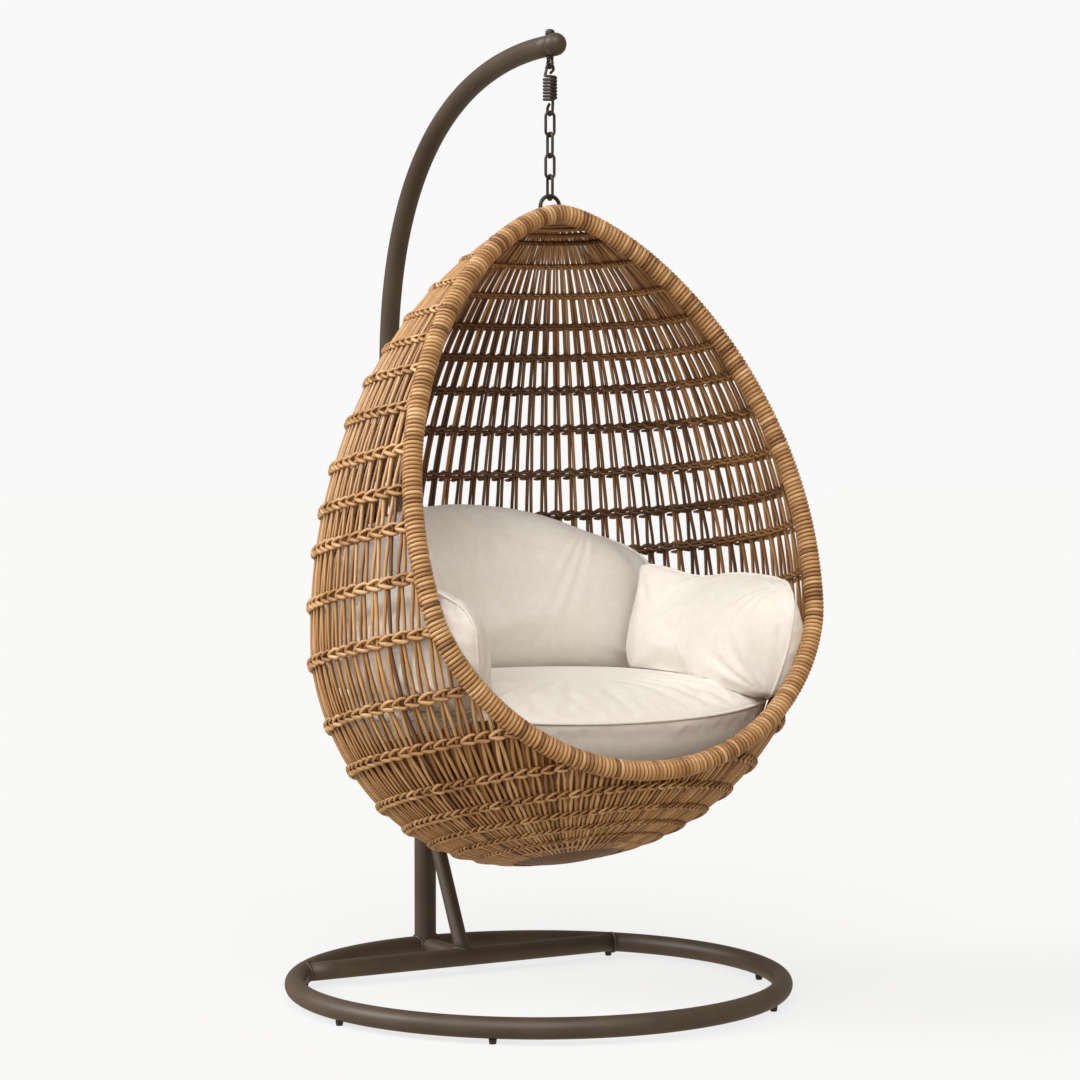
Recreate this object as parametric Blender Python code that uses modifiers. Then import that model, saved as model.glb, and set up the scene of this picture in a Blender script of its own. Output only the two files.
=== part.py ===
"""Hanging egg chair: an open woven basket on a chain and spring, hung from a curved pole on a ring base.

Metres, +Z up. The open front of the basket faces -Y, and the origin is on the floor
under the middle of the whole chair.
"""

import math

import bmesh
import bpy
import numpy as np
from mathutils import Matrix, Vector
from mathutils.geometry import interpolate_bezier

# Fits
GAP = 0.0003
WELD = 0.00001
PAST = 0.01

# Base ring, cross tube, link and feet
RING_RADIUS = 0.50
RING_TUBE = 0.021
CROSS_TUBE = 0.0195
CROSS_BACK = 0.322
LINK_TUBE = 0.018
TUBE_WALL = 0.002
FOOT_HEIGHT = 0.010
FOOT_RADIUS = 0.008
FOOT_TAPER = 0.8
STEM_RADIUS = 0.004
STEM_LENGTH = 0.008
FOOT_ANGLES = (48.0, 99.0, 140.0)

# Post, brace and pole
POLE_TUBE = 0.0215
POST_TOP = 0.45
SOCKET_BOTTOM = 0.20
BRACE_TUBE = 0.016
BRACE_TOP = 0.37
BEND_START = 0.50
BEND_REACH = 0.30
POLE_BACK = 0.672
POLE_BACK_HEIGHT = 1.30
POLE_BACK_REACH = (0.35, 0.45)
POLE_TIP_HEIGHT = 1.94
POLE_TIP_REACH = 0.39
TIP_STRAIGHT = 0.045
HANG_FORWARD = 0.0458
TIP_OVERHANG = 0.020
CAP_WALL = 0.002
CAP_SKIRT = 0.007
DOME_ANGLES = (90.0, 65.0, 45.0, 25.0, 0.0)
BOLT_HEIGHTS = (0.24, 0.40)
BOLT_RADIUS = 0.004
BOLT_HEAD = 0.0075
BOLT_HEAD_LENGTH = 0.005
BOLT_CROWN = 0.6

# Eye bolt, spring and chain
SHANK_RADIUS = 0.004
SHOULDER_RADIUS = 0.0075
SHOULDER_LENGTH = 0.006
EYE_RADIUS = 0.0085
EYE_WIRE = 0.0035
WASHER_RADIUS = 0.0105
WASHER_THICKNESS = 0.0015
NUT_RADIUS = 0.0095
NUT_HEIGHT = 0.0095
NUT_DOME = ((0.0, 1.0), (0.5, 0.93), (0.85, 0.72), (1.0, 0.4))
SPRING_WIRE = 0.003
COIL_RADIUS = 0.012
COIL_TURNS = 7.25
COIL_PITCH = 0.0067
TOP_LOOP = 0.008
BOTTOM_LOOP = 0.0105
LOOP_OPENING = 50.0
LOOP_LEAD = 0.2
CURL_POINTS = 9
LINK_WIRE = 0.003
LINK_LENGTH = 0.055
LINK_WIDTH = 0.026
LINKS = 4
BASKET_EYE_WIRE = 0.004
BASKET_EYE_WIDTH = 0.053

# Egg basket
EGG_TOP = 1.598
EGG_HEIGHT = 1.299
EGG_RADIUS = 0.508
EGG_WIDEST = 0.651
UPPER_FULLNESS = (2.09, 1.56)
LOWER_FULLNESS = (1.65, 2.52)
EGG_FORWARD = (0.024, 0.0462, 0.075)
ROW_TILT = (2.0, 15.3)
ROW_BOW = 0.5
OPENING_TOP = 0.039
OPENING_LIP = 0.413
OPENING_DROP = 1.10
OPENING_BOW = 0.009
RIM_TUBE = 0.020
STRAND = 0.009
PANEL_GAP = 0.0015
CROWN_RADIUS = 0.066
HUB_RADIUS = 0.112
PLATE_THICKNESS = 0.010
CROWN_CLEARANCE = 0.003
TIERS = (("crown", 2, 3), ("upper", 3, 6), ("middle", 4, 8), ("lower", 4, 8))
SECTORS = (("left_front", -1.0), ("left_back", -0.5), ("right_back", 0.0), ("right_front", 0.5))

# Cushions
SEAT_EDGE_HEIGHT = 0.600
SEAT_CROWN = 0.064
SEAT_DEPTH = 0.15
SEAT_CLEARANCE = 0.022
SEAT_FRONT = 2.6
SEAT_REACH = 0.62
SEAT_TOP_FULLNESS = 3
SEAT_BASE_FULLNESS = 6
WALL_CLEARANCE = 0.012
PIPED_EDGE = 0.15
SIDE_DRAW_IN = 0.05
BACK_STATION = (0.553, 0.133)
BACK_ANGLE = 58.0
BACK_THICKNESS = 0.19
BACK_ROUNDNESS = (1.25, 0.3)
BACK_SLUMP = 0.1
SIDE_STATION = (0.6465, 0.090)
SIDE_PLACE = 87.0
SIDE_ANGLE = 38.0
SIDE_THICKNESS = 0.17
SIDE_ROUNDNESS = (0.4, 0.2)
SIDE_SLUMP = 0.35
SIDE_LEVEL = 0.034
SIDE_TURN = 0.060

# Roundness: sides of tubes as curve bevel levels, segments of turned and ring shapes
THIN_BEVEL = 1
ROUND_BEVEL = 2
POLE_BEVEL = 4
RING_SEGMENTS = 48
TUBE_SIDES = 12
BORE_SIDES = 6
TURN_STEPS = 16
PLATE_STEPS = 24
SEAT_STEPS = 24
SEAT_ROUNDS = 7
POLE_STEPS = (9, 17)
EYE_SEGMENTS = (16, 8)
LINK_STEPS = 8
ARCH_STEPS = 10
RIM_STEPS = 56
CAGE_CUTS = 4
SHARP_ANGLE = 35.0

# Fineness of the search for places on the egg and for the spring's gaps
FINE_STEPS = 400
HALVINGS = 40
BETWEEN_POINTS = 6

# Places that follow from the sizes above
RING_Y = (RING_RADIUS + RING_TUBE - POLE_BACK - POLE_TUBE) / 2
RING_Z = FOOT_HEIGHT + RING_TUBE
POST_Y = RING_Y + RING_RADIUS
POST_TUBE = POLE_TUBE + GAP + TUBE_WALL
CROSS_Y = RING_Y + CROSS_BACK
HANG_Y = RING_Y - HANG_FORWARD
TIP_Y = HANG_Y - TIP_OVERHANG
EYE_TOP = POLE_TIP_HEIGHT - POLE_TUBE - GAP - SHOULDER_LENGTH
EYE_Z = EYE_TOP - EYE_RADIUS
SPRING_Z = EYE_Z - EYE_RADIUS + EYE_WIRE + SPRING_WIRE + GAP
LINK_REACH = LINK_LENGTH - 2 * LINK_WIRE
LINK_DROP = LINK_REACH - 2 * LINK_WIRE - GAP
OPENING_LEAN = math.atan((OPENING_LIP - OPENING_TOP) / OPENING_DROP)

for leftover in list(bpy.data.objects):
    bpy.data.objects.remove(leftover)

PARTS = bpy.data.collections.new("hanging_egg_chair")
CUTTERS = bpy.data.collections.new("cutters")
for collection in (PARTS, CUTTERS):
    bpy.context.scene.collection.children.link(collection)


def material(name, colour, roughness, metallic=0.0):
    made = bpy.data.materials.new(name)
    made.use_nodes = True
    shader = made.node_tree.nodes["Principled BSDF"]
    shader.inputs["Base Color"].default_value = (*colour, 1.0)
    shader.inputs["Roughness"].default_value = roughness
    shader.inputs["Metallic"].default_value = metallic
    return made


POWDER_COAT = material("powder_coated_steel", (0.085, 0.066, 0.050), 0.45, 0.3)
HARDWARE = material("bronzed_steel", (0.060, 0.050, 0.042), 0.35, 0.9)
CANE = material("golden_cane", (0.44, 0.25, 0.11), 0.5)
FABRIC = material("cream_fabric", (0.83, 0.77, 0.69), 0.9)
RUBBER = material("dark_rubber", (0.02, 0.02, 0.02), 0.8)


# Making and joining shapes


def add(name, data, look=None):
    """Put a new object in the parts, or in the cutters where it has no look."""
    obj = bpy.data.objects.new(name, data)
    if look:
        PARTS.objects.link(obj)
        data.materials.append(look)
    else:
        CUTTERS.objects.link(obj)
        obj.hide_render = True
        obj.display_type = "WIRE"
    if isinstance(data, bpy.types.Mesh):
        data.shade_smooth()
        data.set_sharp_from_angle(angle=math.radians(SHARP_ANGLE))
    return obj


def tube(name, points, radius, bevel, look=None, closed=False):
    """A round tube along points, as a curve."""
    curve = bpy.data.curves.new(name, "CURVE")
    curve.dimensions = "3D"
    curve.bevel_depth = radius
    curve.bevel_resolution = bevel
    curve.use_fill_caps = not closed
    spline = curve.splines.new("POLY")
    spline.points.add(len(points) - 1)
    for place, point in zip(spline.points, points):
        place.co = (*point, 1.0)
    spline.use_cyclic_u = closed
    return add(name, curve, look)


def meshed(obj, look=None):
    """The same tube as a welded mesh, which a Boolean can take."""
    graph = bpy.context.evaluated_depsgraph_get()
    mesh = bpy.data.meshes.new_from_object(obj.evaluated_get(graph))
    shape = bmesh.new()
    shape.from_mesh(mesh)
    bmesh.ops.remove_doubles(shape, verts=shape.verts, dist=WELD)
    shape.to_mesh(mesh)
    shape.free()
    mesh.materials.clear()
    name = obj.name
    place = obj.matrix_world.copy()
    bpy.data.objects.remove(obj)
    made = add(name, mesh, look)
    made.matrix_world = place
    return made


def rod(name, start, end, radius, look=None, sides=TUBE_SIDES):
    """A straight round bar between two points."""
    along = Vector(end) - Vector(start)
    mesh = bpy.data.meshes.new(name)
    shape = bmesh.new()
    bmesh.ops.create_cone(
        shape, cap_ends=True, segments=sides, radius1=radius, radius2=radius, depth=along.length
    )
    shape.to_mesh(mesh)
    shape.free()
    obj = add(name, mesh, look)
    obj.location = (Vector(start) + Vector(end)) / 2
    obj.rotation_euler = along.to_track_quat("Z", "Y").to_euler()
    return obj


def hoop(name, radius, thickness, look=None, segments=RING_SEGMENTS, sides=TUBE_SIDES):
    """A round ring about Z at the origin."""
    bpy.ops.mesh.primitive_torus_add(
        major_segments=segments, minor_segments=sides, major_radius=radius, minor_radius=thickness
    )
    made = bpy.context.object
    mesh = made.data
    bpy.data.objects.remove(made)
    return add(name, mesh, look)


def turned(name, profile, look=None, steps=TURN_STEPS):
    """A profile of (radius, height) points from the top down its outer side, turned about Z."""
    mesh = bpy.data.meshes.new(name)
    shape = bmesh.new()
    points = [shape.verts.new((radius, 0.0, height)) for radius, height in profile]
    for first, second in zip(points, points[1:]):
        shape.edges.new((first, second))
    shape.to_mesh(mesh)
    shape.free()
    obj = add(name, mesh, look)
    screw = obj.modifiers.new("turn", "SCREW")
    screw.steps = steps
    screw.render_steps = steps
    screw.use_merge_vertices = True
    screw.merge_threshold = WELD
    return obj


def cut(obj, other, operation="DIFFERENCE"):
    boolean = obj.modifiers.new(other.name, "BOOLEAN")
    boolean.operation = operation
    boolean.object = other


def bored_rod(name, start, end, radius, look):
    """A straight tube with open ends."""
    obj = rod(name, start, end, radius, look)
    along = (Vector(end) - Vector(start)).normalized() * PAST
    bore = rod(name + "_bore", Vector(start) - along, Vector(end) + along, radius - TUBE_WALL)
    cut(obj, bore)
    return obj


# Stand


def base():
    ring = hoop("base_ring", RING_RADIUS, RING_TUBE, POWDER_COAT)
    ring.location = (0, RING_Y, RING_Z)
    bore = hoop("base_ring_bore", RING_RADIUS, RING_TUBE - TUBE_WALL, sides=BORE_SIDES)
    bore.location = ring.location
    cut(ring, bore)
    seat = hoop("base_ring_seat", RING_RADIUS, RING_TUBE + GAP)
    seat.location = ring.location
    feet(ring)

    half = math.sqrt(RING_RADIUS**2 - CROSS_BACK**2)
    ends = ((-half, CROSS_Y, RING_Z), (half, CROSS_Y, RING_Z))
    cross = bored_rod("cross_tube", *ends, CROSS_TUBE, POWDER_COAT)
    cut(cross, seat)
    cross_seat = rod("cross_tube_seat", *ends, CROSS_TUBE + GAP)

    link = bored_rod("link_tube", (0, CROSS_Y, RING_Z), (0, POST_Y, RING_Z), LINK_TUBE, POWDER_COAT)
    cut(link, seat)
    cut(link, cross_seat)
    return seat, cross_seat


def feet(ring):
    for number, angle in enumerate(FOOT_ANGLES * 2):
        side = 1 if number < len(FOOT_ANGLES) else -1
        turn = math.radians(angle) * side
        x = RING_RADIUS * math.sin(turn)
        y = RING_Y + RING_RADIUS * math.cos(turn)
        hole = rod(
            f"foot_hole_{number + 1}", (x, y, 0), (x, y, RING_Z), STEM_RADIUS + GAP, sides=BORE_SIDES
        )
        cut(ring, hole)
        top = FOOT_HEIGHT - GAP
        profile = (
            (0, top + STEM_LENGTH),
            (STEM_RADIUS * math.cos(math.pi / BORE_SIDES), top + STEM_LENGTH),
            (STEM_RADIUS * math.cos(math.pi / BORE_SIDES), top),
            (FOOT_RADIUS, top),
            (FOOT_RADIUS * FOOT_TAPER, 0),
            (0, 0),
        )
        foot = turned(f"foot_{number + 1}", profile, RUBBER, TUBE_SIDES)
        foot.location = (x, y, 0)


def post(ring_seat, cross_seat):
    foot = (0, POST_Y, RING_Z)
    head = (0, POST_Y, POST_TOP)
    lower = bored_rod("lower_post", foot, head, POST_TUBE, POWDER_COAT)
    cut(lower, ring_seat)
    post_seat = rod("lower_post_seat", foot, (0, POST_Y, POST_TOP + PAST), POST_TUBE + GAP)

    start = (0, CROSS_Y, RING_Z)
    brace = bored_rod("brace_tube", start, (0, POST_Y, BRACE_TOP), BRACE_TUBE, POWDER_COAT)
    cut(brace, cross_seat)
    cut(brace, post_seat)
    link_seat = rod("link_tube_seat", start, foot, LINK_TUBE + GAP)
    cut(brace, link_seat)
    cut(lower, link_seat)
    return lower


def pole_path(past=0.0):
    """The middle line of the pole, from inside the post to the tip over the basket."""
    socket = Vector((0, POST_Y, SOCKET_BOTTOM - past))
    bend = Vector((0, POST_Y, BEND_START))
    back = Vector((0, RING_Y + POLE_BACK, POLE_BACK_HEIGHT))
    tip = Vector((0, TIP_Y, POLE_TIP_HEIGHT))
    level = tip + Vector((0, TIP_STRAIGHT, 0))
    up = Vector((0, 0, 1))
    below, above = POLE_BACK_REACH
    rise = interpolate_bezier(bend, bend + up * BEND_REACH, back - up * below, back, POLE_STEPS[0])
    over = interpolate_bezier(
        back, back + up * above, level + Vector((0, POLE_TIP_REACH, 0)), level, POLE_STEPS[1]
    )
    return [socket, *rise, *over[1:], tip - Vector((0, past, 0))]


def pole(lower):
    curved = meshed(tube("pole", pole_path(), POLE_TUBE, POLE_BEVEL), POWDER_COAT)
    bore = meshed(tube("pole_bore", pole_path(PAST), POLE_TUBE - TUBE_WALL, THIN_BEVEL))
    cut(curved, bore)
    shank_hole = rod(
        "shank_hole",
        (0, HANG_Y, POLE_TIP_HEIGHT - POLE_TUBE - PAST),
        (0, HANG_Y, POLE_TIP_HEIGHT + POLE_TUBE + PAST),
        SHANK_RADIUS + GAP,
    )
    cut(curved, shank_hole)
    for number, height in enumerate(BOLT_HEIGHTS):
        back = POST_Y + POST_TUBE + GAP
        hole = rod(
            f"post_bolt_hole_{number + 1}",
            (0, POST_Y, height),
            (0, back + PAST, height),
            BOLT_RADIUS + GAP,
        )
        cut(curved, hole)
        cut(lower, hole)
        profile = (
            (0, BOLT_HEAD_LENGTH),
            (BOLT_HEAD * BOLT_CROWN, BOLT_HEAD_LENGTH),
            (BOLT_HEAD, BOLT_HEAD_LENGTH / 2),
            (BOLT_HEAD, 0),
            (BOLT_RADIUS * math.cos(math.pi / TUBE_SIDES), 0),
            (BOLT_RADIUS * math.cos(math.pi / TUBE_SIDES), -POLE_TUBE / 2),
            (0, -POLE_TUBE / 2),
        )
        bolt = turned(f"post_bolt_{number + 1}", profile, HARDWARE, TUBE_SIDES)
        bolt.location = (0, back, height)
        bolt.rotation_euler = (-math.pi / 2, 0, 0)

    outer = POLE_TUBE + CAP_WALL
    quarter = [math.radians(angle) for angle in DOME_ANGLES]
    dome = [(outer * math.cos(a), outer * math.sin(a)) for a in quarter]
    inner = (POLE_TUBE + GAP) / math.cos(math.pi / TURN_STEPS)
    profile = dome + [(outer, -CAP_SKIRT), (inner, -CAP_SKIRT), (inner, GAP), (0, GAP)]
    cap = turned("pole_end_cap", profile, POWDER_COAT)
    cap.location = (0, TIP_Y, POLE_TIP_HEIGHT)
    cap.rotation_euler = (math.pi / 2, 0, 0)


# Hanging gear


def eye_bolt():
    """Eye bolt up through the pole end, with its washer and dome nut on top."""
    eye = hoop("eye_bolt", EYE_RADIUS, EYE_WIRE, HARDWARE, *EYE_SEGMENTS)
    eye.location = (0, HANG_Y, EYE_Z)
    eye.rotation_euler = (0, math.pi / 2, 0)
    pole_top = POLE_TIP_HEIGHT + POLE_TUBE
    nut_bottom = pole_top + GAP + WASHER_THICKNESS + GAP
    shank_top = nut_bottom + NUT_HEIGHT / 2
    shoulder_top = EYE_TOP + SHOULDER_LENGTH
    stem = rod("eye_bolt_stem", (0, HANG_Y, EYE_TOP), (0, HANG_Y, shank_top), SHANK_RADIUS)
    shoulder = rod(
        "eye_bolt_shoulder", (0, HANG_Y, EYE_TOP - EYE_WIRE), (0, HANG_Y, shoulder_top), SHOULDER_RADIUS
    )
    cut(eye, shoulder, "UNION")
    cut(eye, stem, "UNION")

    bore = SHANK_RADIUS + GAP
    ring = ((bore, WASHER_THICKNESS), (WASHER_RADIUS, WASHER_THICKNESS), (WASHER_RADIUS, 0), (bore, 0))
    washer = turned("eye_bolt_washer", (*ring, ring[0]), HARDWARE)
    washer.location = (0, HANG_Y, pole_top + GAP)
    roof = NUT_HEIGHT / 2 + GAP
    dome = [(NUT_RADIUS * out, NUT_HEIGHT * up) for out, up in NUT_DOME]
    socket = ((NUT_RADIUS, 0), (bore, 0), (bore, roof), (0, roof))
    nut = turned("eye_bolt_nut", (*dome, *socket), HARDWARE)
    nut.location = (0, HANG_Y, nut_bottom)


def spring_end(loop):
    """One hooked end, as (across, above) points from its free tail to the coil, and its loop's height."""
    opening = math.radians(LOOP_OPENING)
    tail = Vector((-math.sin(opening), -math.cos(opening))) * 2 * SPRING_WIRE
    middle = loop * math.sin(opening) - tail.y + 2 * SPRING_WIRE + 2 * GAP
    sweep = math.pi + opening + LOOP_LEAD
    turns = [sweep * step / CURL_POINTS - opening for step in range(CURL_POINTS + 1)]
    points = [Vector((loop * math.cos(a), middle + loop * math.sin(a))) for a in turns]
    return [points[0] + tail, *points], middle


def spring_path():
    """One unbroken wire: top loop across X, coil, bottom loop across Y, from the top loop's crown."""
    top, top_middle = spring_end(TOP_LOOP)
    bottom, bottom_middle = spring_end(BOTTOM_LOOP)
    coil_top = -(top_middle + TOP_LOOP)
    fall = COIL_PITCH * COIL_TURNS
    steps = round(COIL_TURNS * CURL_POINTS)
    path = [Vector((x, 0, coil_top + z)) for x, z in top]
    for step in range(steps + 1):
        turn = math.pi + step / steps * COIL_TURNS * 2 * math.pi
        x = COIL_RADIUS * math.cos(turn)
        y = COIL_RADIUS * math.sin(turn)
        path.append(Vector((x, y, coil_top - fall * step / steps)))
    last = math.copysign(1.0, path[-1].y)
    coil_bottom = coil_top - fall
    path += [Vector((0, -last * across, coil_bottom - z)) for across, z in reversed(bottom)]
    return path, coil_bottom - bottom_middle - BOTTOM_LOOP


def least_gap(path, wire):
    """The smallest clear space between stretches of the wire that aren't neighbours along it."""
    fine = []
    for first, second in zip(path, path[1:]):
        fine += [first.lerp(second, step / BETWEEN_POINTS) for step in range(BETWEEN_POINTS)]
    points = np.array([tuple(point) for point in fine])
    run = np.concatenate([[0], np.cumsum(np.linalg.norm(np.diff(points, axis=0), axis=1))])
    apart = np.linalg.norm(points[:, None] - points[None], axis=2)
    far_along = np.abs(run[:, None] - run[None]) > 4 * wire * math.pi
    return float(apart[far_along].min()) - 2 * wire


def spring():
    path, bottom = spring_path()
    coil = tube("spring", path, SPRING_WIRE, THIN_BEVEL, HARDWARE)
    coil.location = (0, HANG_Y, SPRING_Z)
    print(f"spring: least gap to itself {least_gap(path, SPRING_WIRE) * 1000:.2f} mm")
    return SPRING_Z + bottom + SPRING_WIRE + LINK_WIRE + GAP


def chain(top):
    """Links that hang in each other, turned a quarter round each time. Each origin is its own top bend."""
    bend = (LINK_WIDTH - 2 * LINK_WIRE) / 2
    straight = LINK_REACH - 2 * bend
    half_turn = [math.pi * step / LINK_STEPS for step in range(LINK_STEPS + 1)]
    outline = [(bend * math.cos(a), bend * math.sin(a) - bend) for a in half_turn]
    outline += [(-bend * math.cos(a), -bend * math.sin(a) - bend - straight) for a in half_turn]
    for number in range(LINKS):
        link = tube(
            f"chain_link_{number + 1}",
            [(across, 0, along) for across, along in outline],
            LINK_WIRE,
            THIN_BEVEL,
            HARDWARE,
            closed=True,
        )
        link.location = (0, HANG_Y, top - number * LINK_DROP)
        link.rotation_euler = (0, 0, math.pi / 2 if number % 2 else 0)
    last_bend = top - (LINKS - 1) * LINK_DROP - LINK_REACH
    return last_bend + LINK_WIRE + BASKET_EYE_WIRE + GAP


# Basket: the egg is a stack of tilted rounds, cut by a leaning front


def section(s):
    """Round at station s, 0 at the top and 1 at the bottom: (middle y, middle z, radius, tilt)."""
    top, half, bottom = EGG_FORWARD
    forward = top + (4 * half - 3 * top - bottom) * s + (2 * top - 4 * half + 2 * bottom) * s * s
    tilt = math.radians(ROW_TILT[0] + (ROW_TILT[1] - ROW_TILT[0]) * s)
    above = s < EGG_WIDEST
    away = abs(s - EGG_WIDEST) / (EGG_WIDEST if above else 1 - EGG_WIDEST)
    power, root = UPPER_FULLNESS if above else LOWER_FULLNESS
    radius = EGG_RADIUS * max(1 - away**power, 0) ** (1 / root)
    return HANG_Y - forward, EGG_TOP - EGG_HEIGHT * s, radius, tilt


def egg_point(s, angle, depth=0.0):
    """Point on the egg, with angle 0 at the front, moved in by depth."""
    y, z, radius, tilt = section(s)
    radius -= depth
    ahead = math.cos(angle)
    rise = math.sin(tilt) * (ahead + ROW_BOW * (1 - s) * ahead * ahead)
    return Vector((radius * math.sin(angle), y - radius * ahead * math.cos(tilt), z + radius * rise))


def opening_y(z):
    """Where the leaning front of the basket is at a height."""
    down = (EGG_TOP - z) / OPENING_DROP
    reach = OPENING_TOP + (OPENING_LIP - OPENING_TOP) * down + OPENING_BOW * 4 * down * (1 - down)
    return HANG_Y - reach


def behind_opening(point):
    return (point.y - opening_y(point.z)) * math.cos(OPENING_LEAN)


def bisect(value, low, high):
    """Where value falls to zero between low, where it is positive, and high."""
    for _ in range(HALVINGS):
        middle = (low + high) / 2
        if value(middle) > 0:
            low = middle
        else:
            high = middle
    return (low + high) / 2


def opening_angle(s, behind=0.0):
    """Angle from the front at which the round at s meets the opening, 0 where it is all behind it."""
    if behind_opening(egg_point(s, 0.0)) > behind:
        return 0.0
    return bisect(lambda angle: behind_opening(egg_point(s, angle)) - behind, math.pi, 0.0)


def meridian():
    """Stations and the lengths along the egg's side to them."""
    stations = [(1 - math.cos(math.pi * step / FINE_STEPS)) / 2 for step in range(FINE_STEPS + 1)]
    rounds = [section(s) for s in stations]
    steps = [math.hypot(b[2] - a[2], b[1] - a[1]) for a, b in zip(rounds, rounds[1:])]
    return np.array(stations), np.concatenate([[0], np.cumsum(steps)])


def station_of_radius(radius, low, high):
    """Station where the egg has this radius, between low, where it is wider, and high."""
    return bisect(lambda s: section(s)[2] - radius, low, high)


def rim_path():
    """The edge of the opening, evenly spaced, from the top down the right side and back up the left."""
    def front(s):
        return behind_opening(egg_point(s, 0.0))

    top = bisect(front, 0.0, EGG_WIDEST / 4)
    lip = bisect(front, 1.0, EGG_WIDEST)
    right = []
    for step in range(FINE_STEPS + 1):
        s = top + (lip - top) * (1 - math.cos(math.pi * step / FINE_STEPS)) / 2
        right.append(egg_point(s, opening_angle(s)))
    left = [Vector((-point.x, point.y, point.z)) for point in reversed(right[1:-1])]
    loop = np.array([tuple(point) for point in right + left + right[:1]])
    run = np.concatenate([[0], np.cumsum(np.linalg.norm(np.diff(loop, axis=0), axis=1))])
    places = np.linspace(0, run[-1], RIM_STEPS, endpoint=False)
    return np.column_stack([np.interp(places, run, loop[:, axis]) for axis in range(3)])


def slants(rows, angles):
    """For each row, how much longer the edge through it is than one straight down the egg."""
    ratios = []
    for s, below, angle, next_angle in zip(rows, rows[1:], angles, angles[1:]):
        corner = egg_point(s, angle)
        edge = egg_point(below, next_angle) - corner
        straight = egg_point(below, angle) - corner
        ratios.append(edge.length / straight.length)
    return [max(pair) for pair in zip(ratios[:1] + ratios, ratios + ratios[-1:])]


def weave_panel(name, rows, columns, start):
    """Open weave between the given stations, over a quarter of the way round behind the rim."""
    side = 1 if start >= 0 else -1
    edges = [opening_angle(s, RIM_TUBE + STRAND) for s in rows]
    ways = [abs(start + 0.5 * column / columns) for column in range(columns + 1)]
    across = [[side * (math.pi - way * (math.pi - edge)) for edge in edges] for way in ways]
    for line, turn in ((across[0], -1), (across[-1], 1)):
        for row, slant in enumerate(slants(rows, line)):
            line[row] += turn * slant * (STRAND + PANEL_GAP) / 2 / section(rows[row])[2]

    mesh = bpy.data.meshes.new(name)
    shape = bmesh.new()
    grid = [[shape.verts.new(egg_point(s, line[row])) for line in across] for row, s in enumerate(rows)]
    for upper, lower in zip(grid, grid[1:]):
        for column in range(columns):
            shape.faces.new((upper[column], upper[column + 1], lower[column + 1], lower[column]))
    bmesh.ops.recalc_face_normals(shape, faces=shape.faces)
    shape.to_mesh(mesh)
    shape.free()
    panel = add(name, mesh, CANE)
    strands = panel.modifiers.new("strands", "WIREFRAME")
    strands.thickness = STRAND
    strands.use_even_offset = True
    strands.use_boundary = True
    strands.use_replace = True
    return panel


def weave():
    stations, lengths = meridian()
    first = station_of_radius(CROWN_RADIUS + STRAND, EGG_WIDEST, 0.0)
    last = station_of_radius(HUB_RADIUS + STRAND, EGG_WIDEST, 1.0)
    start, end = np.interp((first, last), stations, lengths)
    spacing = (end - start) / sum(rows for _, rows, _ in TIERS)
    panels = []
    above = 0
    for tier, rows, columns in TIERS:
        runs = [start + spacing * (above + row) for row in range(rows + 1)]
        runs[0] += (STRAND + PANEL_GAP) / 2
        runs[-1] -= (STRAND + PANEL_GAP) / 2
        heights = np.interp(runs, lengths, stations)
        for sector, way in SECTORS:
            panels.append(weave_panel(f"weave_{tier}_{sector}", heights, columns, way))
        above += rows
    return panels, first, last


def plate(name, s, radius):
    """A lens-shaped plate that closes the weave at the top or the bottom."""
    y, z, _, tilt = section(s)
    half = PLATE_THICKNESS / 2
    shoulder = radius - half
    upper = ((0, half), (shoulder, half), (radius, half / 2))
    lower = ((radius, -half / 2), (shoulder, -half), (0, -half))
    made = turned(name, upper + lower, CANE, PLATE_STEPS)
    made.location = (0, y, z)
    made.rotation_euler = (-tilt, 0, 0)
    return made


def basket(eye_top):
    """Everything that hangs on the last link, parented to an empty at that link's bend."""
    panels, first, last = weave()
    rim = tube("rim_hoop", rim_path(), RIM_TUBE, ROUND_BEVEL, CANE, closed=True)

    crown = plate("crown_plate", first, CROWN_RADIUS)
    size = 2 * (CROWN_RADIUS + RIM_TUBE)
    bpy.ops.mesh.primitive_cube_add(size=size)
    front = add("crown_front_cut", bpy.context.object.data)
    bpy.data.objects.remove(bpy.context.object)
    crown_z = crown.location.z
    away = Vector((0, -math.cos(OPENING_LEAN), -math.sin(OPENING_LEAN)))
    reach = size / 2 - RIM_TUBE - CROWN_CLEARANCE
    front.location = Vector((0, opening_y(crown_z), crown_z)) + away * reach
    front.rotation_euler = (OPENING_LEAN, 0, 0)
    cut(crown, front)
    hub = plate("bottom_hub", last, HUB_RADIUS)

    arch = BASKET_EYE_WIDTH / 2 - BASKET_EYE_WIRE
    half_turn = [math.pi * step / ARCH_STEPS for step in range(ARCH_STEPS + 1)]
    crown_top = crown_z + PLATE_THICKNESS / 2 + GAP * 4
    legs = [(arch * math.cos(a), arch * math.sin(a) - arch) for a in half_turn]
    foot = crown_top - eye_top
    legs = [(arch, foot), *legs, (-arch, foot)]
    eye = tube(
        "basket_eye", [(across, 0, along) for across, along in legs], BASKET_EYE_WIRE, ROUND_BEVEL, HARDWARE
    )
    eye.location = (0, HANG_Y, eye_top)

    pieces = [*panels, rim, crown, hub, eye, *cushions()]
    pivot = bpy.data.objects.new("basket_pivot", None)
    PARTS.objects.link(pivot)
    pivot.location = (0, HANG_Y, eye_top)
    for piece in pieces:
        piece.parent = pivot
        piece.matrix_parent_inverse = Matrix.Translation(pivot.location).inverted()


# Cushions


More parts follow.
